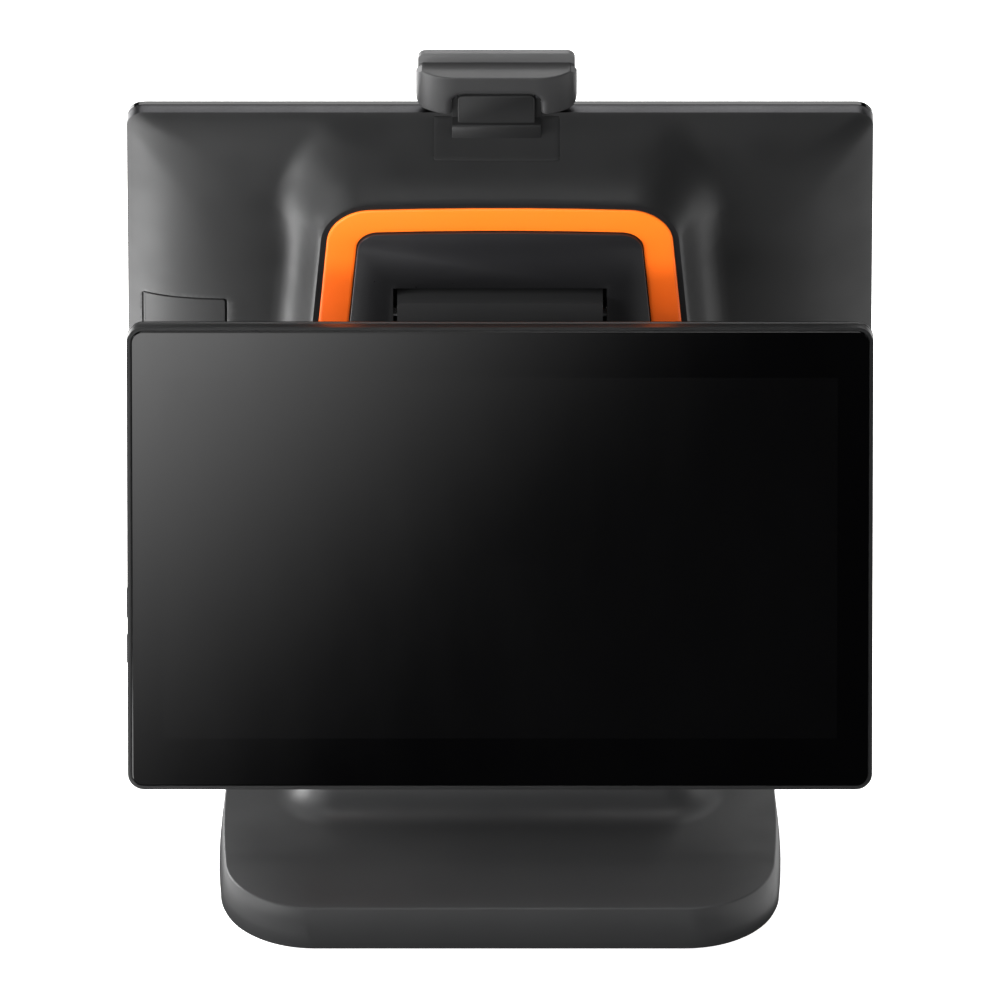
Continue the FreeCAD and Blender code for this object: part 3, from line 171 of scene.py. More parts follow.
def plastic(name, colour, rough, grain=0.25, scale=1600.0, specular=0.5, wear=0.25, vary=0.12,
            stretch=(1, 1, 1), sheen=0.0):
    """Moulded plastic: spark-eroded grain, uneven gloss, rubbed edges."""
    material, tree, shader = node_tree(name)
    cloud = noise(tree, 14.0, 4.0)
    fine = noise(tree, scale, 2.0, stretch)
    light = tuple(min(c * (1 + vary), 1.0) for c in colour)
    dark = tuple(c * (1 - vary) for c in colour)
    body = mix_colour(tree, span(tree, cloud, 0.0, 1.0, 0.3, 0.7), dark, light)
    speck = mix_colour(tree, span(tree, fine, 0.0, 0.35, 0.45, 0.75), body, light)
    rubbed = tuple(min(c * 1.7 + 0.01, 1.0) for c in colour)
    worn = calculate(tree, "MULTIPLY", edge_wear(tree), wear)
    tree.links.new(mix_colour(tree, worn, speck, rubbed), shader.inputs["Base Color"])
    tree.links.new(span(tree, noise(tree, 45.0, 5.0), rough - 0.05, rough + 0.05, 0.3, 0.7),
                   shader.inputs["Roughness"])
    shader.inputs["Specular IOR Level"].default_value = specular
    shader.inputs["Sheen Weight"].default_value = sheen
    bump(tree, shader, [(cloud, 0.02, 0.0004), (fine, grain, 0.00006)])
    return material


def glossy(name, colour, rough, coat=0.0, vary=0.06, ripple=0.02, smudge=0.04, painted_shade=None):
    """Polished plastic or printed glass with faint smudges and waviness.

    The last argument is painted shade: the colour lower down and the heights between which it takes over, in
    metres."""
    material, tree, shader = node_tree(name)
    cloud = noise(tree, 9.0, 3.0)
    light = tuple(min(c * (1 + vary) + 0.0006, 1.0) for c in colour)
    dark = tuple(c * (1 - vary) for c in colour)
    body = mix_colour(tree, cloud, dark, light)
    # Painted shade: the colour turns to the lower one further down, by the object's height.
    if painted_shade:
        lower, start, end = painted_shade
        axes = tree.nodes.new("ShaderNodeSeparateXYZ")
        tree.links.new(place_in_object(tree), axes.inputs[0])
        body = mix_colour(tree, span(tree, axes.outputs["Z"], 1.0, 0.0, end, start), body, lower)
    tree.links.new(body, shader.inputs["Base Color"])
    smears = noise(tree, 30.0, 6.0, (1.0, 1.0, 0.35), 0.7)
    tree.links.new(span(tree, smears, max(rough - smudge, 0.02), rough + smudge, 0.35, 0.7),
                   shader.inputs["Roughness"])
    shader.inputs["Coat Weight"].default_value = coat
    shader.inputs["Coat Roughness"].default_value = 0.05
    bump(tree, shader, [(noise(tree, 60.0, 2.0), ripple, 0.0002),
                        (noise(tree, 2500.0, 1.0), ripple, 0.00002)])
    return material


def metal(name, colour, rough, stretch=(1, 1, 1), scale=400.0, brush=0.15):
    """Metal with brushing or casting grain and uneven gloss."""
    material, tree, shader = node_tree(name)
    lines = noise(tree, scale, 3.0, stretch)
    cloud = noise(tree, 25.0, 4.0)
    dark = tuple(c * 0.8 for c in colour)
    tree.links.new(mix_colour(tree, span(tree, lines, 0.0, 1.0, 0.3, 0.7), dark, colour),
                   shader.inputs["Base Color"])
    shader.inputs["Metallic"].default_value = 1.0
    tree.links.new(span(tree, cloud, rough - 0.08, rough + 0.08, 0.3, 0.7), shader.inputs["Roughness"])
    bump(tree, shader, [(lines, brush, 0.00008)])
    return material


def board_finish(name):
    """Green solder mask with copper traces under it."""
    material, tree, shader = node_tree(name)
    brick = tree.nodes.new("ShaderNodeTexBrick")
    brick.inputs["Scale"].default_value = 260.0
    brick.inputs["Mortar Size"].default_value = 0.012
    brick.inputs["Color1"].default_value = (0.010, 0.085, 0.035, 1)
    brick.inputs["Color2"].default_value = (0.012, 0.11, 0.045, 1)
    brick.inputs["Mortar"].default_value = (0.05, 0.22, 0.09, 1)
    tree.links.new(place_in_object(tree), brick.inputs["Vector"])
    tree.links.new(brick.outputs["Color"], shader.inputs["Base Color"])
    tree.links.new(span(tree, noise(tree, 80.0), 0.3, 0.45), shader.inputs["Roughness"])
    bump(tree, shader, [(brick.outputs["Fac"], 0.2, 0.00004)])
    return material


FINISH = {
    "stand_plastic": plastic("stand_plastic", (0.0212, 0.0214, 0.0219), 0.44, grain=0.3, scale=900.0,
                             stretch=(0.25, 1.6, 1.0), vary=0.06),
    "bottom_plastic": plastic("bottom_plastic", (0.018, 0.018, 0.019), 0.6),
    "steel": metal("steel", (0.30, 0.31, 0.32), 0.42, scale=600.0),
    "bright_steel": metal("bright_steel", (0.55, 0.55, 0.56), 0.26, (1.0, 12.0, 12.0)),
    "cast_aluminium": metal("cast_aluminium", (0.052, 0.052, 0.054), 0.40, scale=900.0, brush=0.2),
    "heat_sink_aluminium": metal("heat_sink_aluminium", (0.62, 0.63, 0.65), 0.35, (14.0, 1.0, 1.0)),
    "rubber": plastic("rubber", (0.016, 0.016, 0.016), 0.85, grain=0.4, specular=0.25, sheen=0.2),
    "display_plastic": plastic("display_plastic", (0.0098, 0.0099, 0.0101), 0.42, grain=0.2, vary=0.06),
    "black_gloss": glossy("black_gloss", (0.012, 0.012, 0.013), 0.3, coat=0.2),
    # The ring's painted shade: darker and redder towards its lower ends, where less light reaches it.
    "orange_gloss": glossy("orange_gloss", (0.93, 0.175, 0.011), 0.42,
                           painted_shade=((0.95, 0.135, 0.008), RING_HIGH, RING_HIGH - RING_SHADE_SPAN)),
    "cover_glass": glossy("cover_glass", (0.0004, 0.0004, 0.0005), 0.10, vary=0.2, ripple=0.004,
                          smudge=0.02),
    "lcd_panel": metal("lcd_panel", (0.42, 0.43, 0.45), 0.4, (1.0, 8.0, 8.0)),
    "circuit_board": board_finish("circuit_board"),
    "black_plastic": plastic("black_plastic", (0.014, 0.014, 0.015), 0.5),
    "standoff_brass": metal("standoff_brass", (0.70, 0.50, 0.22), 0.3, (8.0, 1.0, 8.0)),
    "button_plastic": plastic("button_plastic", (0.030, 0.030, 0.032), 0.4),
}
BEZEL = plastic("camera_bezel", (0.072, 0.072, 0.073), 0.4, grain=0.15, vary=0.05)
# Painted light: a lighter copy of the display plastic, standing in for light on the camera housing's top.
LIT_CAMERA_PLASTIC = plastic("lit_camera_plastic", (0.026, 0.026, 0.0265), 0.38, grain=0.2, vary=0.06)
RING_SURROUND = glossy("ring_surround", (0.0085, 0.0085, 0.009), 0.34)
SCREEN = glossy("screen_area", (0.0009, 0.0009, 0.0010), 0.12, vary=0.1, ripple=0.004, smudge=0.02)


# ---------------------------------------------------------------- pieces
def add_object(name, data):
    item = bpy.data.objects.new(name, data)
    bpy.context.scene.collection.objects.link(item)
    return item


def finish_mesh(mesh, angle):
    for polygon in mesh.polygons:
        polygon.use_smooth = True
    mesh.set_sharp_from_angle(angle=math.radians(angle))


def piece(name, verts, faces, place, body, slot, stands_for=(), angle=32.0, materials=None, pick=None):
    """A closed mesh from millimetre vertices, placed in a frame and riding on a body."""
    mesh = bpy.data.meshes.new(name)
    mesh.from_pydata([Vector(v) * MM for v in verts], [], faces)
    bm = bmesh.new()
    bm.from_mesh(mesh)
    bmesh.ops.remove_doubles(bm, verts=bm.verts, dist=0.004 * MM)
    bmesh.ops.dissolve_degenerate(bm, dist=0.002 * MM, edges=bm.edges)
    bmesh.ops.recalc_face_normals(bm, faces=bm.faces)
    bm.to_mesh(mesh)
    bm.free()
    for material in materials or [FINISH[slot]]:
        mesh.materials.append(material)
    if pick:
        for polygon in mesh.polygons:
            polygon.material_index = pick(polygon.center / MM, polygon.normal)
    finish_mesh(mesh, angle)
    item = add_object(name, mesh)
    item.matrix_world = place
    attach(item, body)
    if stands_for:
        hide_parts(*stands_for)
    return item


def refined(node, rounding=0.0, material=None, angle=34.0):
    """A copy of a CAD node with its seams welded, its flat faces merged and its edges rounded."""
    mesh = NODES[node].data.copy()
    mesh.name = node + "_refined"
    bm = bmesh.new()
    bm.from_mesh(mesh)
    bmesh.ops.remove_doubles(bm, verts=bm.verts, dist=0.002 * MM)
    if rounding:
        bmesh.ops.dissolve_limit(bm, angle_limit=math.radians(0.5), verts=bm.verts, edges=bm.edges)
        edges = [e for e in bm.edges if len(e.link_faces) == 2
                 and e.calc_face_angle(0.0) > math.radians(angle)]
        bmesh.ops.bevel(bm, geom=edges, offset=rounding * MM, offset_type="OFFSET", segments=2,
                        profile=0.6, affect="EDGES", clamp_overlap=True)
    bm.to_mesh(mesh)
    bm.free()
    mesh.materials.clear()
    mesh.materials.append(material or FINISH[SLOT_OF[node]])
    finish_mesh(mesh, angle)
    item = add_object(node + "_refined", mesh)
    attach(item, BODY_OF[node])
    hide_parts(node)
    return item


def stack(rings):
    """Quads between rings of equal length, with a cap on the first and the last."""
    count = len(rings[0])
    verts = [point for ring in rings for point in ring]
    faces = []
    for a in range(0, len(verts) - count, count):
        for i in range(count):
            j = (i + 1) % count
            faces.append((a + i, a + j, a + count + j, a + count + i))
    faces.append(tuple(range(count))[::-1])
    faces.append(tuple(range(len(verts) - count, len(verts))))
    return verts, faces


def joined(parts):
    """One list of vertices and faces from several closed shapes."""
    verts, faces = [], []
    for part_verts, part_faces in parts:
        base = len(verts)
        verts += part_verts
        faces += [tuple(base + i for i in face) for face in part_faces]
    return verts, faces


# ---------------------------------------------------------------- outlines
def rounded_loop(corners, radii, steps):
    """Closed outline through corners, each rounded."""
    points = []
    for i, corner in enumerate(corners):
        here = Vector(corner)
        before = (Vector(corners[i - 1]) - here).normalized()
        after = (Vector(corners[(i + 1) % len(corners)]) - here).normalized()
        half = before.angle(after) / 2
        centre = here + (before + after).normalized() * (radii[i] / math.sin(half))
        reach = radii[i] / math.tan(half)
        first = here + before * reach - centre
        last = here + after * reach - centre
        turn = first.angle_signed(last)
        points += [tuple(centre + Matrix.Rotation(-turn * k / steps, 2) @ first) for k in range(steps + 1)]
    return points


def refine(loop, step):
    """Adds points so that no side of a closed outline is longer than step."""
    points = []
    for i, start in enumerate(loop):
        end = loop[(i + 1) % len(loop)]
        length = math.hypot(end[0] - start[0], end[1] - start[1])
        pieces = max(1, math.ceil(length / step))
        for k in range(pieces):
            t = k / pieces
            points.append((start[0] + (end[0] - start[0]) * t, start[1] + (end[1] - start[1]) * t))
    return points


def along(loop, step, gap):
    """Guide points at most step apart on an outline, each at least about gap from the next."""
    return [(x, down, gap) for x, down in refine(loop, step)]


def rectangle(x0, x1, down0, down1, radii=0.5, steps=3):
    radii = radii if isinstance(radii, (list, tuple)) else [radii] * 4
    return rounded_loop([(x0, down0), (x1, down0), (x1, down1), (x0, down1)], radii, steps)


def display_loop(inset, radius, half_w=HALF_W, half_h=HALF, steps=10):
    return rectangle(-half_w + inset, half_w - inset, HALF - half_h + inset, HALF + half_h - inset,
                     radius, steps)


def lift(loop, p):
    """Outline points (x, down) at depth p, in the display's frame."""
    return [(x, -p, HALF - down) for x, down in loop]


# ---------------------------------------------------------------- height fields
def smooth_max(a, b, width):
    blend = np.clip(0.5 + 0.5 * (a - b) / width, 0.0, 1.0)
    return b + (a - b) * blend + width * blend * (1 - blend)


def curve_through(points):
    """Smooth monotone curve through (x, y) points, as a function on arrays."""
    xs, ys = (np.array(column, float) for column in zip(*points))
    slopes = np.diff(ys) / np.diff(xs)
    tangents = np.zeros(len(xs))
    tangents[0], tangents[-1] = slopes[0], slopes[-1]
    for i in range(1, len(xs) - 1):
        if slopes[i - 1] * slopes[i] > 0:
            tangents[i] = 2 * slopes[i - 1] * slopes[i] / (slopes[i - 1] + slopes[i])

    def evaluate(x):
        x = np.clip(x, xs[0], xs[-1])
        i = np.clip(np.searchsorted(xs, x) - 1, 0, len(xs) - 2)
        step = xs[i + 1] - xs[i]
        t = (x - xs[i]) / step
        return ((1 + 2 * t) * (1 - t) ** 2 * ys[i] + t * (1 - t) ** 2 * step * tangents[i]
                + t * t * (3 - 2 * t) * ys[i + 1] + t * t * (t - 1) * step * tangents[i + 1])

    return evaluate


def box_distance(x, y, half_w, half_h, radius):
    """Signed distance to a rounded rectangle around the origin, negative inside."""
    qx = np.abs(x) - half_w + radius
    qy = np.abs(y) - half_h + radius
    outside = np.hypot(np.maximum(qx, 0), np.maximum(qy, 0))
    return outside + np.minimum(np.maximum(qx, qy), 0) - radius


def rectangle_distance(x, down, box, radius=0.5):
    x0, x1, down0, down1 = box
    return box_distance(x - (x0 + x1) / 2, down - (down0 + down1) / 2, (x1 - x0) / 2,
                        (down1 - down0) / 2, radius)


def edge_roll(distance, radius):
    """How far a rounded edge falls at a distance from the opening it surrounds."""
    near = np.clip(radius - distance, 0.0, radius)
    return radius - np.sqrt(radius * radius - near * near)


def point_tree(points):
    tree = kdtree.KDTree(len(points))
    for i, point in enumerate(points):
        tree.insert((*point, 0.0), i)
    tree.balance()
    return tree


def terraced(border, cuts, guides, region, level, spacing):
    """A sheet over the border, cut along loops into regions that each have their own level.

    region gives a number for each point, zero where there is an opening. Returns the vertices, the
    faces, and the open edges with the plan positions of their ends."""
    points, edges = [], []
    for chain in [border] + cuts:
        first = len(points)
        points += [tuple(p) for p in chain]
        edges += [(first + i, first + (i + 1) % len(chain)) for i in range(len(chain))]
    tree = point_tree(points)
    cells = set()
    kept = []
    for x, y, gap in guides:
        cell = (round(x / gap), round(y / gap))
        if cell not in cells and tree.find((x, y, 0.0))[2] > 0.6 * gap:
            cells.add(cell)
            kept.append((x, y))
    tree = point_tree(points + kept)
    xs, ys = [p[0] for p in border], [p[1] for p in border]
    row_height = spacing * math.sqrt(0.75)
    for row in range(int((max(ys) - min(ys)) / row_height) + 1):
        y = min(ys) + row * row_height
        for column in range(int((max(xs) - min(xs)) / spacing) + 1):
            x = min(xs) + (column + 0.5 * (row % 2)) * spacing
            if tree.find((x, y, 0.0))[2] > 0.6 * spacing:
                kept.append((x, y))
    plan, _, triangles, *_ = delaunay_2d_cdt([Vector(p) for p in points + kept], edges, [], 0, 1e-5)
    flat = np.array([tuple(p) for p in plan])
    corners = np.array([tuple(t) for t in triangles])
    centres = flat[corners].mean(axis=1)
    numbers = region(centres[:, 0], centres[:, 1])
    index, verts, faces = {}, [], []
    for number in sorted(set(numbers.tolist()) - {0}):
        used = np.unique(corners[numbers == number])
        heights = level(number, flat[used, 0], flat[used, 1])
        for v, height in zip(used.tolist(), heights.tolist()):
            index[v, number] = len(verts)
            verts.append((flat[v, 0], flat[v, 1], height))
    sides = {}
    for triangle, number in zip(corners.tolist(), numbers.tolist()):
        if number:
            faces.append(tuple(index[v, number] for v in triangle))
            for a, b in zip(triangle, triangle[1:] + triangle[:1]):
                sides.setdefault((min(a, b), max(a, b)), []).append(number)
    open_edges = []
    for (a, b), owners in sides.items():
        if len(owners) == 1:
            ends = [index[a, owners[0]], index[b, owners[0]]]
            open_edges.append((ends, [tuple(flat[a]), tuple(flat[b])]))
        elif owners[0] != owners[1]:
            quad = [index[a, owners[0]], index[b, owners[0]], index[b, owners[1]], index[a, owners[1]]]
            if abs(verts[quad[0]][2] - verts[quad[3]][2]) + abs(verts[quad[1]][2] - verts[quad[2]][2]) > 0.01:
                faces.append(tuple(quad))
    return verts, faces, open_edges


class Lookup:
    """Finds the value stored at a plan position."""

    def __init__(self, items):
        self.values = [value for _, value in items]
        self.tree = point_tree([place for place, _ in items])

    def find(self, place, missing=None):
        _, i, distance = self.tree.find((*place, 0.0))
        return self.values[i] if distance < 0.02 else missing


def shell(outer, inner, border_out, border_in):
    """Joins an outer and an inner sheet along their borders and around their openings."""
    verts, faces, open_out = outer
    inner_verts, inner_faces, open_in = inner
    base = len(verts)
    verts = verts + inner_verts
    faces = faces + [tuple(base + i for i in face[::-1]) for face in inner_faces]
    partner = Lookup([(place, base + end) for ends, places in open_in for end, place in zip(ends, places)])
    moved = Lookup(list(zip(border_out, border_in)))
    for (a, b), (place_a, place_b) in open_out:
        c = partner.find(moved.find(place_b, place_b))
        d = partner.find(moved.find(place_a, place_a))
        faces.append((a, b, c, d))
    return [(x, -p, HALF - down) for x, down, p in verts], faces


def skirted(sheet, p):
    """Adds straight walls from a sheet's open edges to one depth."""
    verts, faces, open_edges = list(sheet[0]), list(sheet[1]), []
    below = {}
    for ends, places in sheet[2]:
        for end, place in zip(ends, places):
            if end not in below:
                below[end] = len(verts)
                verts.append((*place, p))
        a, b = ends
        faces.append((a, b, below[b], below[a]))
        open_edges.append(([below[a], below[b]], places))
    return verts, faces, open_edges


def inside_loop(loop, x, down):
    """Which points lie inside a closed outline."""
    inside = np.zeros_like(x, bool)
    for (ax, ay), (bx, by) in zip(loop, loop[1:] + loop[:1]):
        if ay != by:
            inside ^= ((ay > down) != (by > down)) & (x < (bx - ax) * (down - ay) / (by - ay) + ax)
    return inside


def inside_only(loop):
    """A region function for terraced: skin inside a closed outline, nothing outside."""
    return lambda x, down: np.where(inside_loop(loop, x, down), SKIN, 0)


def moved_in(loop, by):
    """The same points moved towards the inside of a closed outline, along its local normal."""
    area = sum(a[0] * b[1] - b[0] * a[1] for a, b in zip(loop, loop[1:] + loop[:1]))
    side = math.copysign(by, area)
    moved = []
    for i, point in enumerate(loop):
        before = Vector(point) - Vector(loop[i - 1])
        after = Vector(loop[(i + 1) % len(loop)]) - Vector(point)
        a = Vector((-before.y, before.x)).normalized()
        b = Vector((-after.y, after.x)).normalized()
        middle = a + b
        middle = middle / max(middle.length_squared / 2, 0.5)
        moved.append((point[0] + middle.x * side, point[1] + middle.y * side))
    return moved


# ---------------------------------------------------------------- the main display's rear surface
FRAME_BACK = -local_box("main_frame", MAIN)[0].y
DISPLAY_CORNER = 9.0
CONTOUR_GROWTH = 0.45
PILLOW_RISE, PILLOW_REACH = 10.4, 17.0
PLATEAU = 40.0
GROOVE_LEVEL = PLATEAU - 3.0
SKIN_THICKNESS = 2.0
RING_TOP = HALF - ring_high.z
RING_LEG_END = HALF - ring_low.z
RING_HALF, RING_SPLAY, RING_FOOT, RING_CORNER, RING_WIDTH = 86.7, 0.0772, 214.0, 22.0, 15.5
RING_CROWN = 1.3 / 66.0 ** 2
INNER_CORNER = 11.0
SURROUND_WIDTH = 3.5
GROOVE_CLEAR, PANEL_GAP = 0.2, 0.4
DOOR = (-182.5, -140.5, 123.0, 203.0)
DOOR_CORNER, DOOR_PIN_RADIUS, LID_THICKNESS = 1.3, 1.05, 1.8
SEAT_LEVEL = 10.7
CAMERA_X = -1.8
FOOT = (CAMERA_X - 32.0, CAMERA_X + 32.0, 1.8, 19.2)
POCKET_HALF, POCKET_TOP, POCKET_FLOOR = 54.5, 92.6, 15.0


def edge_inset(x, down):
    """Distance in from the display's edge; the contours' corners grow wider further in."""
    z = HALF - down
    low, high = np.zeros_like(x), np.full_like(x, 70.0)
    for _ in range(22):
        middle = (low + high) / 2
        radius = np.minimum(DISPLAY_CORNER + CONTOUR_GROWTH * middle, HALF - middle)
        outside = box_distance(x, z, HALF_W - middle, HALF - middle, radius) > 0
        high = np.where(outside, middle, high)
        low = np.where(outside, low, middle)
    return low


def ring_corners(outset):
    """Corners of the outline at a distance outside the ring's outer edge."""
    lean = math.hypot(1.0, RING_SPLAY)
    top, foot = RING_TOP - outset, RING_FOOT + outset
    upper = RING_HALF + outset * lean + RING_SPLAY * (top - RING_TOP)
    lower = RING_HALF + outset * lean + RING_SPLAY * (foot - RING_TOP)
    return [(-upper, top), (upper, top), (lower, foot), (-lower, foot)]


def crown(points):
    """The ring's top side is bowed: everything sinks a little away from the middle."""
    return [(x, down + RING_CROWN * x * x) for x, down in points]


def hump_loop(outset, steps):
    return crown(refine(rounded_loop(ring_corners(outset), [RING_CORNER + outset] * 4, steps), 6.0))


def path_radius(outset):
    return max(RING_CORNER + outset, INNER_CORNER)


def ring_distance(x, down, outset=0.0):
    """Distance outside the outline at an outset from the ring's outer edge, negative inside."""
    down = down - RING_CROWN * x * x
    radius = path_radius(outset)
    corners = ring_corners(outset - radius)
    nearest = np.full_like(x, 1e9)
    inside = np.ones_like(x, bool)
    for (ax, ay), (bx, by) in zip(corners, corners[1:] + corners[:1]):
        ex, ey = bx - ax, by - ay
        t = np.clip(((x - ax) * ex + (down - ay) * ey) / (ex * ex + ey * ey), 0, 1)
        nearest = np.minimum(nearest, np.hypot(x - ax - t * ex, down - ay - t * ey))
        inside &= ex * (down - ay) - ey * (x - ax) > 0
    return np.where(inside, -nearest, nearest) - radius


upper_flank = curve_through([(3.1, PLATEAU), (3.8, 39.5), (5.0, 38.2), (8.0, 34.6), (12.0, 30.1),
                             (16.0, 26.3), (20.0, 23.2), (25.0, 19.8), (32.0, 15.3), (40.0, 10.2),
                             (60.0, 0.0)])
side_flank = curve_through([(3.1, PLATEAU), (3.8, 39.5), (5.0, 37.0), (7.0, 32.2), (9.0, 27.8),
                            (11.5, 23.8), (15.0, 20.2), (19.0, 17.5), (25.0, 14.2), (32.0, 10.7),
                            (40.0, 7.0), (60.0, 0.0)])
BLEND_START, BLEND_LENGTH = 58.0, 78.0
BLEND_WIDTH, RIM_SLOPE = 3.0, 1.1


def rear_surface(x, down, thinner=0.0):
    """Depth of the display's rear surface: a pillow with the ring's hump on it.

    The hump's sides are steeper than its top, which runs out at the display's rim."""
    inset = edge_inset(x, down)
    pillow = FRAME_BACK + PILLOW_RISE * (1 - np.exp(-inset / PILLOW_REACH))
    distance = ring_distance(x, down) + 0.8 * thinner
    above = np.clip((RING_TOP + BLEND_START - down) / BLEND_LENGTH, 0.0, 1.0)
    above = above * above * (3 - 2 * above)
    hump = above * upper_flank(distance) + (1 - above) * side_flank(distance)
    highest = FRAME_BACK - BLEND_WIDTH + RIM_SLOPE * inset
    hump = -smooth_max(-hump, -highest, BLEND_WIDTH)
    return smooth_max(pillow, hump, BLEND_WIDTH) - thinner


DOOR_HOLE = (DOOR[0] - 0.4, DOOR[1] + 0.8, DOOR[2] - 0.4, DOOR[3] + 0.4)
PORT_HOLE = (DOOR[0] + 8.0, DOOR[1] - 6.0, DOOR[2] + 6.0, DOOR[3] - 6.0)
CAMERA_SEAT = (FOOT[0] - 0.15, FOOT[1] + 0.15, 1.65, FOOT[3] + 0.15)
INNER_SEAT = (CAMERA_SEAT[0] - 2, CAMERA_SEAT[1] + 2, 3.0, 21.6)
SEAT_DEPTH, SEAT_CORNER, FOOT_CORNER, FOOT_ROLL = 1.9, 1.0, 0.9, 0.12
DOOR_HOLE_CORNER = 1.6
POCKET = (-POCKET_HALF, POCKET_HALF, POCKET_TOP, 236.0)
VENTS = [(i * 9.0 - 1.1, i * 9.0 + 1.1, 226.0, 240.0) for i in range(-14, 15) if abs(i) > 6]
SKIN, GROOVE, IN_POCKET, SEAT, FOOT_SEAT, BAY = 1, 2, 3, 4, 5, 6


def grown(box, by):
    return box[0] - by, box[1] + by, box[2] - by, box[3] + by


def within(x, down, box, radius=0.5):
    return rectangle_distance(x, down, box, radius) < 0


def groove_loop():
    return refine(u_path(GROOVE_CLEAR) + u_path(-RING_WIDTH - GROOVE_CLEAR)[::-1], 4.0)


def u_path(outset, steps=14, leg=RING_LEG_END + GROOVE_CLEAR):
    """Upside-down U at a distance outside the ring's outer edge, from left leg to right leg."""
    loop = rounded_loop(ring_corners(outset), [path_radius(outset)] * 4, steps)
    top_left, top_right = loop[:steps + 1], loop[steps + 1:2 * steps + 2]
    side = ring_corners(outset)
    lean = (side[2][0] - side[1][0]) / (side[2][1] - side[1][1])
    foot = side[1][0] + lean * (leg - side[1][1])
    legs = [(foot + (top_right[-1][0] - foot) * t, leg + (top_right[-1][1] - leg) * t)
            for t in (0.0, 0.25, 0.5, 0.75)]
    left = [(-x, down) for x, down in legs]
    top = [(top_left[-1][0] * (1 - t) + top_right[0][0] * t, top_left[-1][1])
           for t in (0.2, 0.4, 0.6, 0.8)]
    bent = crown(left + top_left + top + top_right + legs[::-1])
    shift = RING_CROWN * foot * foot
    return [(x, min(down, leg)) if down > leg - shift - 1e-6 else (x, down) for x, down in bent]


def outer_region(x, down):
    number = np.where(box_distance(x, HALF - down, HALF_W, HALF, DISPLAY_CORNER) < 0, SKIN, 0)
    past_inner = ring_distance(x, down, -RING_WIDTH - GROOVE_CLEAR) > 0
    in_legs = down < RING_LEG_END + GROOVE_CLEAR
    number = np.where((ring_distance(x, down) < GROOVE_CLEAR) & past_inner & in_legs, GROOVE, number)
    number = np.where(within(x, down, POCKET), IN_POCKET, number)
    number = np.where(within(x, down, DOOR_HOLE, DOOR_HOLE_CORNER), SEAT, number)
    number = np.where(within(x, down, CAMERA_SEAT, SEAT_CORNER), FOOT_SEAT, number)
    for hole in VENTS + [PORT_HOLE]:
        number = np.where(within(x, down, hole), 0, number)
    return number


def outer_level(number, x, down):
    surface = rear_surface(x, down)
    if number == GROOVE:
        return np.full_like(x, GROOVE_LEVEL)
    if number == IN_POCKET:
        return np.minimum(surface, POCKET_FLOOR)
    if number == SEAT:
        return np.full_like(x, SEAT_LEVEL)
    if number == FOOT_SEAT:
        return np.maximum(surface - SEAT_DEPTH, FRAME_BACK + 0.1)
    for box, corner, roll in ((DOOR_HOLE, DOOR_HOLE_CORNER, 0.5), (POCKET, 0.5, 0.5),
                              (CAMERA_SEAT, SEAT_CORNER, FOOT_ROLL)):
        surface = surface - edge_roll(np.maximum(rectangle_distance(x, down, box, corner), 0), roll)
    return surface


def inner_region(x, down):
    number = np.where(box_distance(x, HALF - down, HALF_W - SKIN_THICKNESS, HALF - SKIN_THICKNESS,
                                   DISPLAY_CORNER - SKIN_THICKNESS) < 0, SKIN, 0)
    number = np.where(within(x, down, grown(POCKET, SKIN_THICKNESS)), IN_POCKET, number)
    number = np.where(within(x, down, grown(DOOR_HOLE, SKIN_THICKNESS), 2.0), BAY, number)
    number = np.where(within(x, down, INNER_SEAT), FOOT_SEAT, number)
    for hole in VENTS + [PORT_HOLE]:
        number = np.where(within(x, down, hole), 0, number)
    return number


def inner_level(number, x, down):
    surface = np.clip(rear_surface(x, down, SKIN_THICKNESS), FRAME_BACK, GROOVE_LEVEL - SKIN_THICKNESS)
    if number == IN_POCKET:
        return np.minimum(surface, POCKET_FLOOR - SKIN_THICKNESS)
    if number == BAY:
        return np.full_like(x, FRAME_BACK + 0.05)
    if number == FOOT_SEAT:
        return np.maximum(surface - SEAT_DEPTH, FRAME_BACK + 0.02)
    return surface


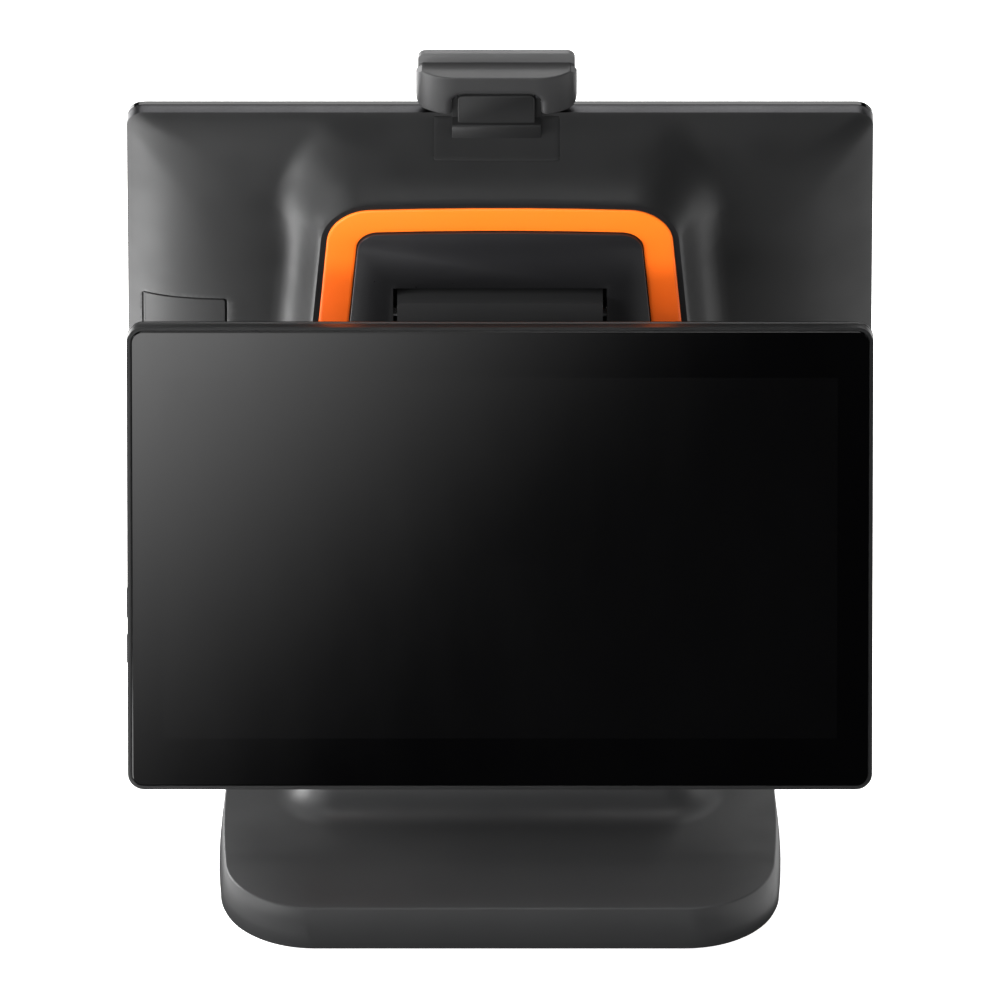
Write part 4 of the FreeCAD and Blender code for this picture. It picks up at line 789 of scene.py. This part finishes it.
def build_rear_cover():
    border_out = refine(display_loop(0.0, DISPLAY_CORNER), 3.0)
    border_in = follow(border_out)
    holes = [refine(rectangle(*box), 3.0) for box in VENTS + [PORT_HOLE]]
    cuts = [refine(rectangle(*POCKET), 3.0), groove_loop(),
            refine(rectangle(*DOOR_HOLE, DOOR_HOLE_CORNER, 5), 3.0),
            refine(rectangle(*CAMERA_SEAT, SEAT_CORNER), 3.0)] + holes
    guides = []
    for outset in (3.1, 3.35, 3.6, 3.9, 4.4, 5.2, 6.2, 7.6, 9.4, 11.6, 14.0, 17.0, 20.5, 24.5, 29.0):
        gap = 0.8 if outset < 5 else 1.4
        guides += along(hump_loop(outset, 28), 2.0, gap)
    for inset in (0.7, 1.8, 3.4, 5.6, 8.5, 12.0, 16.0):
        guides += along(display_loop(inset, DISPLAY_CORNER + CONTOUR_GROWTH * inset, steps=14), 2.6, 1.4)
    for box in (DOOR_HOLE, POCKET):
        for by in (0.2, 0.5):
            guides += along(rectangle(*grown(box, by), 1.6), 1.5, 0.2)
    inside = [(x, down, gap) for x, down, gap in guides
              if box_distance(x, HALF - down, HALF_W, HALF, DISPLAY_CORNER) < -0.4]
    outer = terraced(border_out, cuts, inside, outer_region, outer_level, 3.2)
    inner_cuts = [refine(rectangle(*grown(POCKET, SKIN_THICKNESS)), 4.0),
                  refine(rectangle(*grown(DOOR_HOLE, SKIN_THICKNESS), 2.0), 4.0),
                  refine(rectangle(*INNER_SEAT), 4.0)] + holes
    inner = terraced(border_in, inner_cuts, [], inner_region, inner_level, 5.0)
    verts, faces = shell(outer, inner, border_out, border_in)
    cover = piece("rear_cover_shell", verts, faces, MAIN, "main_display", "display_plastic",
                  ["main_rear_cover"], 28.0, [FINISH["display_plastic"], RING_SURROUND])
    count = len(cover.data.polygons)
    centres = np.empty(3 * count)
    cover.data.polygons.foreach_get("center", centres)
    x, y, z = centres.reshape(count, 3).T / MM
    band = (ring_distance(x, HALF - z) < SURROUND_WIDTH) & (-y > GROOVE_LEVEL - 0.2)
    cover.data.polygons.foreach_set("material_index", band.astype(np.int32))
    return cover


def follow(loop, inset=2.0):
    """The same points moved in from the display's rounded edge."""
    moved = []
    for x, down in loop:
        z = HALF - down
        cx = max(min(x, HALF_W - 9.0), -HALF_W + 9.0)
        cz = max(min(z, HALF - 9.0), -HALF + 9.0)
        away = Vector((x - cx, z - cz))
        if abs(away.x) < 1e-6 or abs(away.y) < 1e-6:
            away = away.normalized() * (9.0 - inset)
        else:
            away = away * (9.0 - inset) / 9.0
        moved.append((cx + away.x, HALF - cz - away.y))
    return moved


build_rear_cover()


# ---------------------------------------------------------------- ring, centre panel
def build_ring():
    base = GROOVE_LEVEL + 0.02
    top = -ring_low.y
    profile = [(0.0, base), (0.0, top - 0.75), (-0.2, top - 0.3), (-0.7, top - 0.06), (-1.6, top),
               (-RING_WIDTH / 2, top), (-RING_WIDTH + 1.6, top), (-RING_WIDTH + 0.7, top - 0.06),
               (-RING_WIDTH + 0.2, top - 0.3), (-RING_WIDTH, top - 0.75), (-RING_WIDTH, base)]
    paths = [lift(u_path(outset, 22, RING_LEG_END), p) for outset, p in profile]
    verts, faces = stack([list(section) for section in zip(*paths)])
    return piece("ring_band", verts, faces, MAIN, "main_display", "orange_gloss", ["ring_trim"], 38.0)


build_ring()


def build_centre_panel():
    top = -local_box("centre_panel", MAIN)[0].y
    leg = RING_LEG_END
    loop = u_path(-RING_WIDTH - PANEL_GAP, 14, leg) + [(POCKET_HALF, leg), (POCKET_HALF, POCKET_TOP),
                                                       (-POCKET_HALF, POCKET_TOP), (-POCKET_HALF, leg)]
    rings = [lift(moved_in(loop, by), p)
             for by, p in ((0.0, PLATEAU + 0.01), (0.0, top - 0.5), (0.12, top - 0.18), (0.45, top))]
    verts, faces = stack(rings)
    return piece("centre_plate", verts, faces, MAIN, "main_display", "black_gloss", ["centre_panel"], 30.0)


build_centre_panel()


# ---------------------------------------------------------------- service door
def build_door():
    left, right, upper, lower = DOOR
    axis = left + DOOR_PIN_RADIUS
    outline = refine(rectangle(axis, right, upper, lower, [0.2, DOOR_CORNER, DOOR_CORNER, 0.2], 5), 2.5)

    def region(x, down):
        return np.where(rectangle_distance(x, down, (axis - 2, right, upper, lower), DOOR_CORNER) < 0.5, SKIN, 0)

    def top(number, x, down):
        edge = -rectangle_distance(x, down, (axis - 6, right, upper, lower), DOOR_CORNER)
        return rear_surface(x, down) - edge_roll(np.maximum(edge, 0), 0.35)

    def under(number, x, down):
        return rear_surface(x, down) - LID_THICKNESS

    guides = along(rectangle(axis + 0.2, right - 0.35, upper + 0.35, lower - 0.35, 1.2), 1.5, 0.2)
    outer = terraced(outline, [], guides, region, top, 3.0)
    inner = terraced(outline, [], [], region, under, 3.0)
    skin = shell(outer, inner, outline, outline)
    level = float(rear_surface(np.array([axis]), np.array([160.0]))[0]) - DOOR_PIN_RADIUS
    rings = []
    for down, radius in ((lower + 2.5, 0.6), (lower, 0.6), (lower, 0.9), (lower - 0.15, DOOR_PIN_RADIUS),
                         (upper + 0.15, DOOR_PIN_RADIUS), (upper, 0.9), (upper, 0.6), (upper - 2.5, 0.6)):
        rings.append([(axis + radius * math.cos(a), -level + radius * math.sin(a), HALF - down)
                      for a in np.linspace(0, 2 * math.pi, 25)[:-1]])
    verts, faces = joined([skin, stack(rings)])
    return piece("service_door_skin", verts, faces, MAIN, "service_door", "display_plastic",
                 ["service_door"], 30.0)


build_door()


# ---------------------------------------------------------------- camera housing and bracket
CAMERA_HALF, CAMERA_FLAT = 41.0, 20.0
CAMERA_TOP, CAMERA_BOTTOM, CAMERA_FRONT, CAMERA_RISE = -29.8, -3.5, 3.0, 11.8
CAMERA_WALL = 1.5
OPENING_HALF, OPENING_TOP, OPENING_CORNER = 22.85, -17.5, 6.5


def camera_surface(x, down, thinner=0.0):
    """Depth of the housing's D-shaped back; its edges and the arm's opening are rolled over."""
    across = np.abs(x - CAMERA_X)
    reach = CAMERA_HALF - CAMERA_FLAT - thinner
    u = np.clip((across - CAMERA_FLAT) / reach, 0.0, 1.0)
    level = CAMERA_FRONT + (CAMERA_RISE - thinner) * np.sqrt(np.maximum(1.0 - u * u, 0.0))
    if thinner:
        return level
    tall = 2 * (CAMERA_BOTTOM + 3.0 - OPENING_TOP)
    middle = OPENING_TOP + tall / 2
    opening = box_distance(x - CAMERA_X, down - middle, OPENING_HALF, tall / 2, OPENING_CORNER)
    fall = edge_roll(np.maximum(down - CAMERA_TOP, 0.0), 0.8)
    fall = fall + 0.75 * edge_roll(np.maximum(opening, 0.0), 3.6)
    fall = fall + edge_roll(np.maximum(CAMERA_BOTTOM - down, 0.0), 1.6)
    return np.maximum(level - fall, CAMERA_FRONT)


def build_camera_housing():
    right, shoulder, shoulder_down = CAMERA_HALF, CAMERA_HALF - 3.2, CAMERA_TOP + 4.8
    half = [(shoulder, CAMERA_TOP), (right, shoulder_down), (right, CAMERA_BOTTOM),
            (OPENING_HALF, CAMERA_BOTTOM), (OPENING_HALF, OPENING_TOP)]
    corners = [(CAMERA_X - shoulder, CAMERA_TOP)] + [(CAMERA_X + x, down) for x, down in half]
    corners += [(CAMERA_X - x, down) for x, down in half[:0:-1]]
    radii = [1.5, 1.5, 2.5, 5.0, 0.6, OPENING_CORNER, OPENING_CORNER, 0.6, 5.0, 2.5]
    border = refine(rounded_loop(corners, radii, 8), 1.2)
    border_in = moved_in(border, CAMERA_WALL)
    guides = []
    for by in (0.12, 0.35, 0.7, 1.2, 1.8, 2.5, 3.3):
        guides += along(moved_in(border, by), 0.9, 0.12 if by < 1 else 0.5)
    for angle in np.linspace(0.0, 1.45, 14):
        across = CAMERA_FLAT + (CAMERA_HALF - CAMERA_FLAT) * math.sin(angle)
        for side in (-across, across):
            guides += [(CAMERA_X + side, down, 0.6)
                       for down in np.arange(CAMERA_TOP + 0.6, CAMERA_BOTTOM, 1.3)]
    kept = np.array([g[:2] for g in guides])
    guides = [g for g, keep in zip(guides, inside_loop(border, kept[:, 0], kept[:, 1])) if keep]
    outer = terraced(border, [], guides, inside_only(border), lambda n, x, down: camera_surface(x, down), 1.5)
    inner = terraced(border_in, [], [], inside_only(border_in),
                     lambda n, x, down: camera_surface(x, down, CAMERA_WALL), 2.5)
    verts, faces = shell(skirted(outer, CAMERA_FRONT), skirted(inner, CAMERA_FRONT), border, border_in)
    # The housing wears the lighter copy of the display plastic: painted light.
    return piece("camera_housing_shell", verts, faces, MAIN, "camera", "display_plastic", ["camera_housing"],
                 34.0, [LIT_CAMERA_PLASTIC])


build_camera_housing()


def rod(x0, x1, radius, down, p, round_over=0.4):
    """A rod along x with rounded ends."""
    rings = []
    for x, r in ((x0, radius - round_over), (x0 + round_over, radius), (x1 - round_over, radius),
                 (x1, radius - round_over)):
        rings.append([(x, -p + r * math.cos(a), HALF - down + r * math.sin(a))
                      for a in np.linspace(0, 2 * math.pi, 33)[:-1]])
    return stack(rings)


def build_camera_bracket():
    outline = refine(rectangle(*FOOT, FOOT_CORNER), 1.6)

    def top(number, x, down):
        edge = np.maximum(-rectangle_distance(x, down, FOOT, FOOT_CORNER), 0)
        return rear_surface(x, down) - edge_roll(edge, FOOT_ROLL)

    def under(number, x, down):
        return np.maximum(rear_surface(x, down) - LID_THICKNESS, FRAME_BACK + 0.15)

    guides = along(moved_in(outline, 0.25), 1.2, 0.15)
    plate = shell(terraced(outline, [], guides, inside_only(outline), top, 2.2),
                  terraced(outline, [], [], inside_only(outline), under, 2.2), outline, outline)
    wedge_half, web_half, half = 22.7, 22.8, 19.7
    profile = [(2.0, 9.9), (2.0, 15.3), (2.12, 15.9), (2.5, 16.4), (3.1, 16.62), (8.0, 16.72), (12.5, 16.66),
               (14.5, 16.45), (16.0, 16.1), (17.5, 15.4), (12.0, 12.6), (6.0, 10.4)]
    slim = moved_in(profile, 0.4)
    wedge = stack([[(CAMERA_X + x, -p, HALF - down) for down, p in line]
                   for x, line in ((-wedge_half, slim), (-wedge_half + 0.12, moved_in(profile, 0.12)),
                                   (-wedge_half + 0.4, profile), (wedge_half - 0.4, profile),
                                   (wedge_half - 0.12, moved_in(profile, 0.12)), (wedge_half, slim))])
    arm_top, arm_lean = -15.0, 0.14
    arm_loop = rectangle(CAMERA_X - half, CAMERA_X + half, arm_top, 3.6, [3.0, 3.0, 0.6, 0.6], 8)
    arm = stack([[(x, -p - arm_lean * (down - arm_top), HALF - down) for x, down in moved_in(arm_loop, by)]
                 for by, p in ((0.3, 9.0), (0.0, 9.3), (0.0, 11.3), (0.15, 11.75), (0.5, 12.0))])
    web_loop = rectangle(CAMERA_X - web_half, CAMERA_X + web_half, -14.4, 3.4, 0.5)
    web = stack([lift(moved_in(web_loop, by), p)
                 for by, p in ((0.25, 9.02), (0.0, 9.25), (0.0, 9.9), (0.2, 10.1))])
    barrel = rod(CAMERA_X - half, CAMERA_X + half, 3.2, -14.0, 8.0)
    verts, faces = joined([plate, wedge, arm, web, barrel])
    return piece("camera_bracket_arm", verts, faces, MAIN, "main_display", "display_plastic",
                 ["camera_bracket"], 34.0)


build_camera_bracket()


# ---------------------------------------------------------------- glass and frames
ACTIVE_HALF_W, ACTIVE_HALF_H = 172.1, 96.8


def build_glass(name, node, place, body, half_w, half_h, radius, depth, shift):
    """A cover glass with rounded edges; its active area, shifted up, has a material of its own."""
    middle = HALF - shift
    active = rectangle(-ACTIVE_HALF_W, ACTIVE_HALF_W, middle - ACTIVE_HALF_H, middle + ACTIVE_HALF_H, 0.4, 10)
    rings = [lift(active, 0.0)]
    for inset, p in ((0.55, 0.0), (0.2, 0.08), (0.0, 0.4), (0.0, depth - 0.3), (0.25, depth)):
        rings.append(lift(display_loop(inset, radius - inset, half_w, half_h), p))

    def pick(centre, normal):
        return int(normal.y > 0.9 and abs(centre.x) < ACTIVE_HALF_W and abs(centre.z - shift) < ACTIVE_HALF_H)

    verts, faces = stack(rings)
    return piece(name, verts, faces, place, body, "cover_glass", [node], 8.0,
                 [FINISH["cover_glass"], SCREEN], pick)


build_glass("operator_glass", "main_glass", MAIN, "main_display", HALF_W, HALF, DISPLAY_CORNER,
            GLASS_DEPTH, 2.0)
build_glass("customer_cover_glass", "customer_glass", GUEST, "customer_display", GUEST_WIDTH / 2,
            GUEST_HEIGHT / 2, 6.0, GUEST_DEPTH, 0.5)

for node, rounding in (("main_frame", 0.25), ("customer_frame", 0.3),
                       ("base_cover", 0.0), ("neck_front_cover", 0.7), ("neck_rear_cover", 0.7),
                       ("customer_rear_cover", 0.0)):
    refined(node, rounding)
BEZEL_SCALE = (CAMERA_HALF - 1.0) / CAMERA_HALF
for vertex in refined("camera_bezel", 0.5, BEZEL).data.vertices:
    vertex.co.x = CAMERA_X * MM + (vertex.co.x - CAMERA_X * MM) * BEZEL_SCALE

for name, node in NODES.items():
    if not node.hide_render:
        node.data.materials.clear()
        node.data.materials.append(FINISH[SLOT_OF[name]])


# ---------------------------------------------------------------- floor, light, camera
ELEVATION = math.radians(31.8)
CARD_DISTANCE, CARD_FALLOFF, CARD_GLOW = 1.0, 2.3, 30.0


def grid_mesh(name, segments, size, scale=(1.0, 1.0, 1.0)):
    mesh = bpy.data.meshes.new(name)
    bm = bmesh.new()
    bmesh.ops.create_grid(bm, x_segments=segments, y_segments=segments, size=size)
    bmesh.ops.scale(bm, vec=scale, verts=bm.verts)
    bm.to_mesh(mesh)
    bm.free()
    return mesh


def build_floor():
    mesh = grid_mesh("floor", 8, 6.0)
    material, tree, shader = node_tree("floor_paper")
    shader.inputs["Base Color"].default_value = (0.9, 0.9, 0.9, 1)
    tree.links.new(span(tree, noise(tree, 3.0), 0.75, 0.85), shader.inputs["Roughness"])
    shader.inputs["Emission Color"].default_value = (1, 1, 1, 1)
    shader.inputs["Emission Strength"].default_value = 0.85
    mesh.materials.append(material)
    floor = add_object("floor", mesh)
    floor.visible_glossy = False
    floor.visible_diffuse = False


def softbox(name, place, aim, width, height, power):
    data = bpy.data.lights.new(name, "AREA")
    data.shape = "RECTANGLE"
    data.size, data.size_y = width, height
    data.energy = power
    lamp = add_object(name, data)
    lamp.location = place
    lamp.rotation_euler = (Vector(aim) - Vector(place)).to_track_quat("-Z", "Y").to_euler()
    lamp.visible_camera = False
    return lamp


def reflected_card():
    """A soft gradient for the customer's glass to mirror: bright at the upper left, dark at the right."""
    mid = GUEST.translation
    outward = GUEST.to_3x3() @ Vector((0, 1, 0))
    seen_from = Vector((0.0, -math.cos(ELEVATION), math.sin(ELEVATION)))
    away = (2 * outward.dot(seen_from) * outward - seen_from).normalized()
    mesh = grid_mesh("glow_card", 6, 0.5, (0.52, 0.36, 1.0))
    material, tree, emission = node_tree("glow_card", "ShaderNodeEmission")
    slope = tree.nodes.new("ShaderNodeVectorMath")
    slope.operation = "DOT_PRODUCT"
    slope.inputs[1].default_value = (-1.23, 1.17, 0.0)
    tree.links.new(place_in_object(tree), slope.inputs[0])
    level = span(tree, slope.outputs["Value"], 0.0, 0.46, -0.04, 0.42)
    glow = calculate(tree, "MULTIPLY", calculate(tree, "POWER", level, CARD_FALLOFF), CARD_GLOW)
    tree.links.new(glow, emission.inputs["Strength"])
    mesh.materials.append(material)
    card = add_object("glow_card", mesh)
    card.location = mid + away * CARD_DISTANCE
    card.rotation_euler = (math.radians(90), 0, 0)
    card.visible_camera = False
    card.visible_diffuse = False
    card.visible_shadow = False


build_floor()
reflected_card()
LIGHTS = [
    ("left_softbox", (-1.5, -0.6, 0.6), (0.0, 0.0, 0.25), 0.8, 0.8, 44.5),
    ("front_low_fill", (-0.4, -1.3, 0.25), (0.0, 0.0, 0.2), 1.2, 0.4, 12.6),
    ("front_high_fill", (0.4, -1.6, 1.4), (0.0, 0.0, 0.25), 1.2, 0.8, 15.0),
    ("left_back_softbox", (-0.9, 0.5, 0.35), (0.0, 0.0, 0.3), 0.7, 0.7, 12.0),
    ("left_back_bounce", (-0.7, 0.65, 0.02), (-0.6, 0.6, 1.0), 0.8, 0.5, 8.1),
    ("left_front_softbox", (-1.0, -0.3, 0.5), (0.0, 0.0, 0.25), 0.9, 1.1, 4.6),
    ("left_front_bounce", (-0.55, -0.55, 0.02), (-0.5, -0.5, 1.0), 0.5, 0.5, 5.9),
    ("left_bounce", (-0.65, 0.0, 0.02), (-0.65, 0.0, 1.0), 0.3, 0.8, 1.8),
    ("left_near_bounce", (-0.38, 0.05, 0.02), (-0.38, 0.05, 1.0), 0.2, 0.5, 1.9),
    ("left_strip", (-0.25, -0.05, 0.002), (-0.25, -0.05, 1.0), 0.18, 0.34, 0.4),
    ("top_softbox", (0.0, 0.1, 1.7), (0.0, 0.0, 0.2), 1.4, 0.6, 9.0),
    ("top_back_softbox", (0.0, 0.9, 1.6), (0.0, 0.0, 0.3), 1.4, 0.8, 14.0),
    ("right_back_bounce", (0.7, 0.65, 0.02), (0.6, 0.6, 1.0), 0.8, 0.5, 3.0),
    ("right_bounce", (0.55, 0.0, 0.02), (0.5, 0.0, 1.0), 0.45, 0.8, 1.3),
    ("back_right_softbox", (0.7, 1.5, 0.9), (0.1, -0.1, 0.0), 0.8, 0.5, 1.8),
    ("top_front_strip", (0.0, -0.9, 1.7), (0.0, 0.0, 0.3), 1.2, 0.12, 3.0),
    ("right_softbox", (1.2, -0.4, 0.35), (0.0, 0.0, 0.3), 0.6, 0.6, 7.0),
    ("right_back_softbox", (0.9, 0.5, 0.35), (0.0, 0.0, 0.3), 0.9, 0.9, 2.6),
]
for name, place, aim, width, height, power in LIGHTS:
    softbox(name, place, aim, width, height, power)
for name in ("left_softbox", "right_softbox", "front_low_fill", "front_high_fill"):
    bpy.data.objects[name].visible_glossy = False

world = bpy.data.worlds.new("studio")
world.use_nodes = True
world.node_tree.nodes["Background"].inputs[0].default_value = (0.97, 0.97, 0.97, 1)
world.node_tree.nodes["Background"].inputs[1].default_value = 1.0
bpy.context.scene.world = world
world.cycles_visibility.glossy = False
world.cycles_visibility.diffuse = False

# A long lens from far away; the view is one metre wide divided by SCALE at the customer's glass.
DISTANCE, GLASS_NEARER, SCALE, SENSOR = 20.0, 0.09, 1.9637, 36.0
TARGET = Vector((0.0, 0.0024, 0.2094))
camera_data = bpy.data.cameras.new("camera")
camera_data.sensor_width = SENSOR
camera_data.lens = SENSOR * SCALE * (DISTANCE - GLASS_NEARER)
camera_data.clip_start, camera_data.clip_end = 1.0, 60.0
camera = add_object("camera", camera_data)
back = Vector((0.0, -math.cos(ELEVATION), math.sin(ELEVATION)))
camera.location = TARGET + back * DISTANCE
camera.rotation_euler = (-back).to_track_quat("-Z", "Y").to_euler()
bpy.context.scene.camera = camera
bpy.context.scene.view_settings.view_transform = "Standard"

bpy.context.view_layer.update()
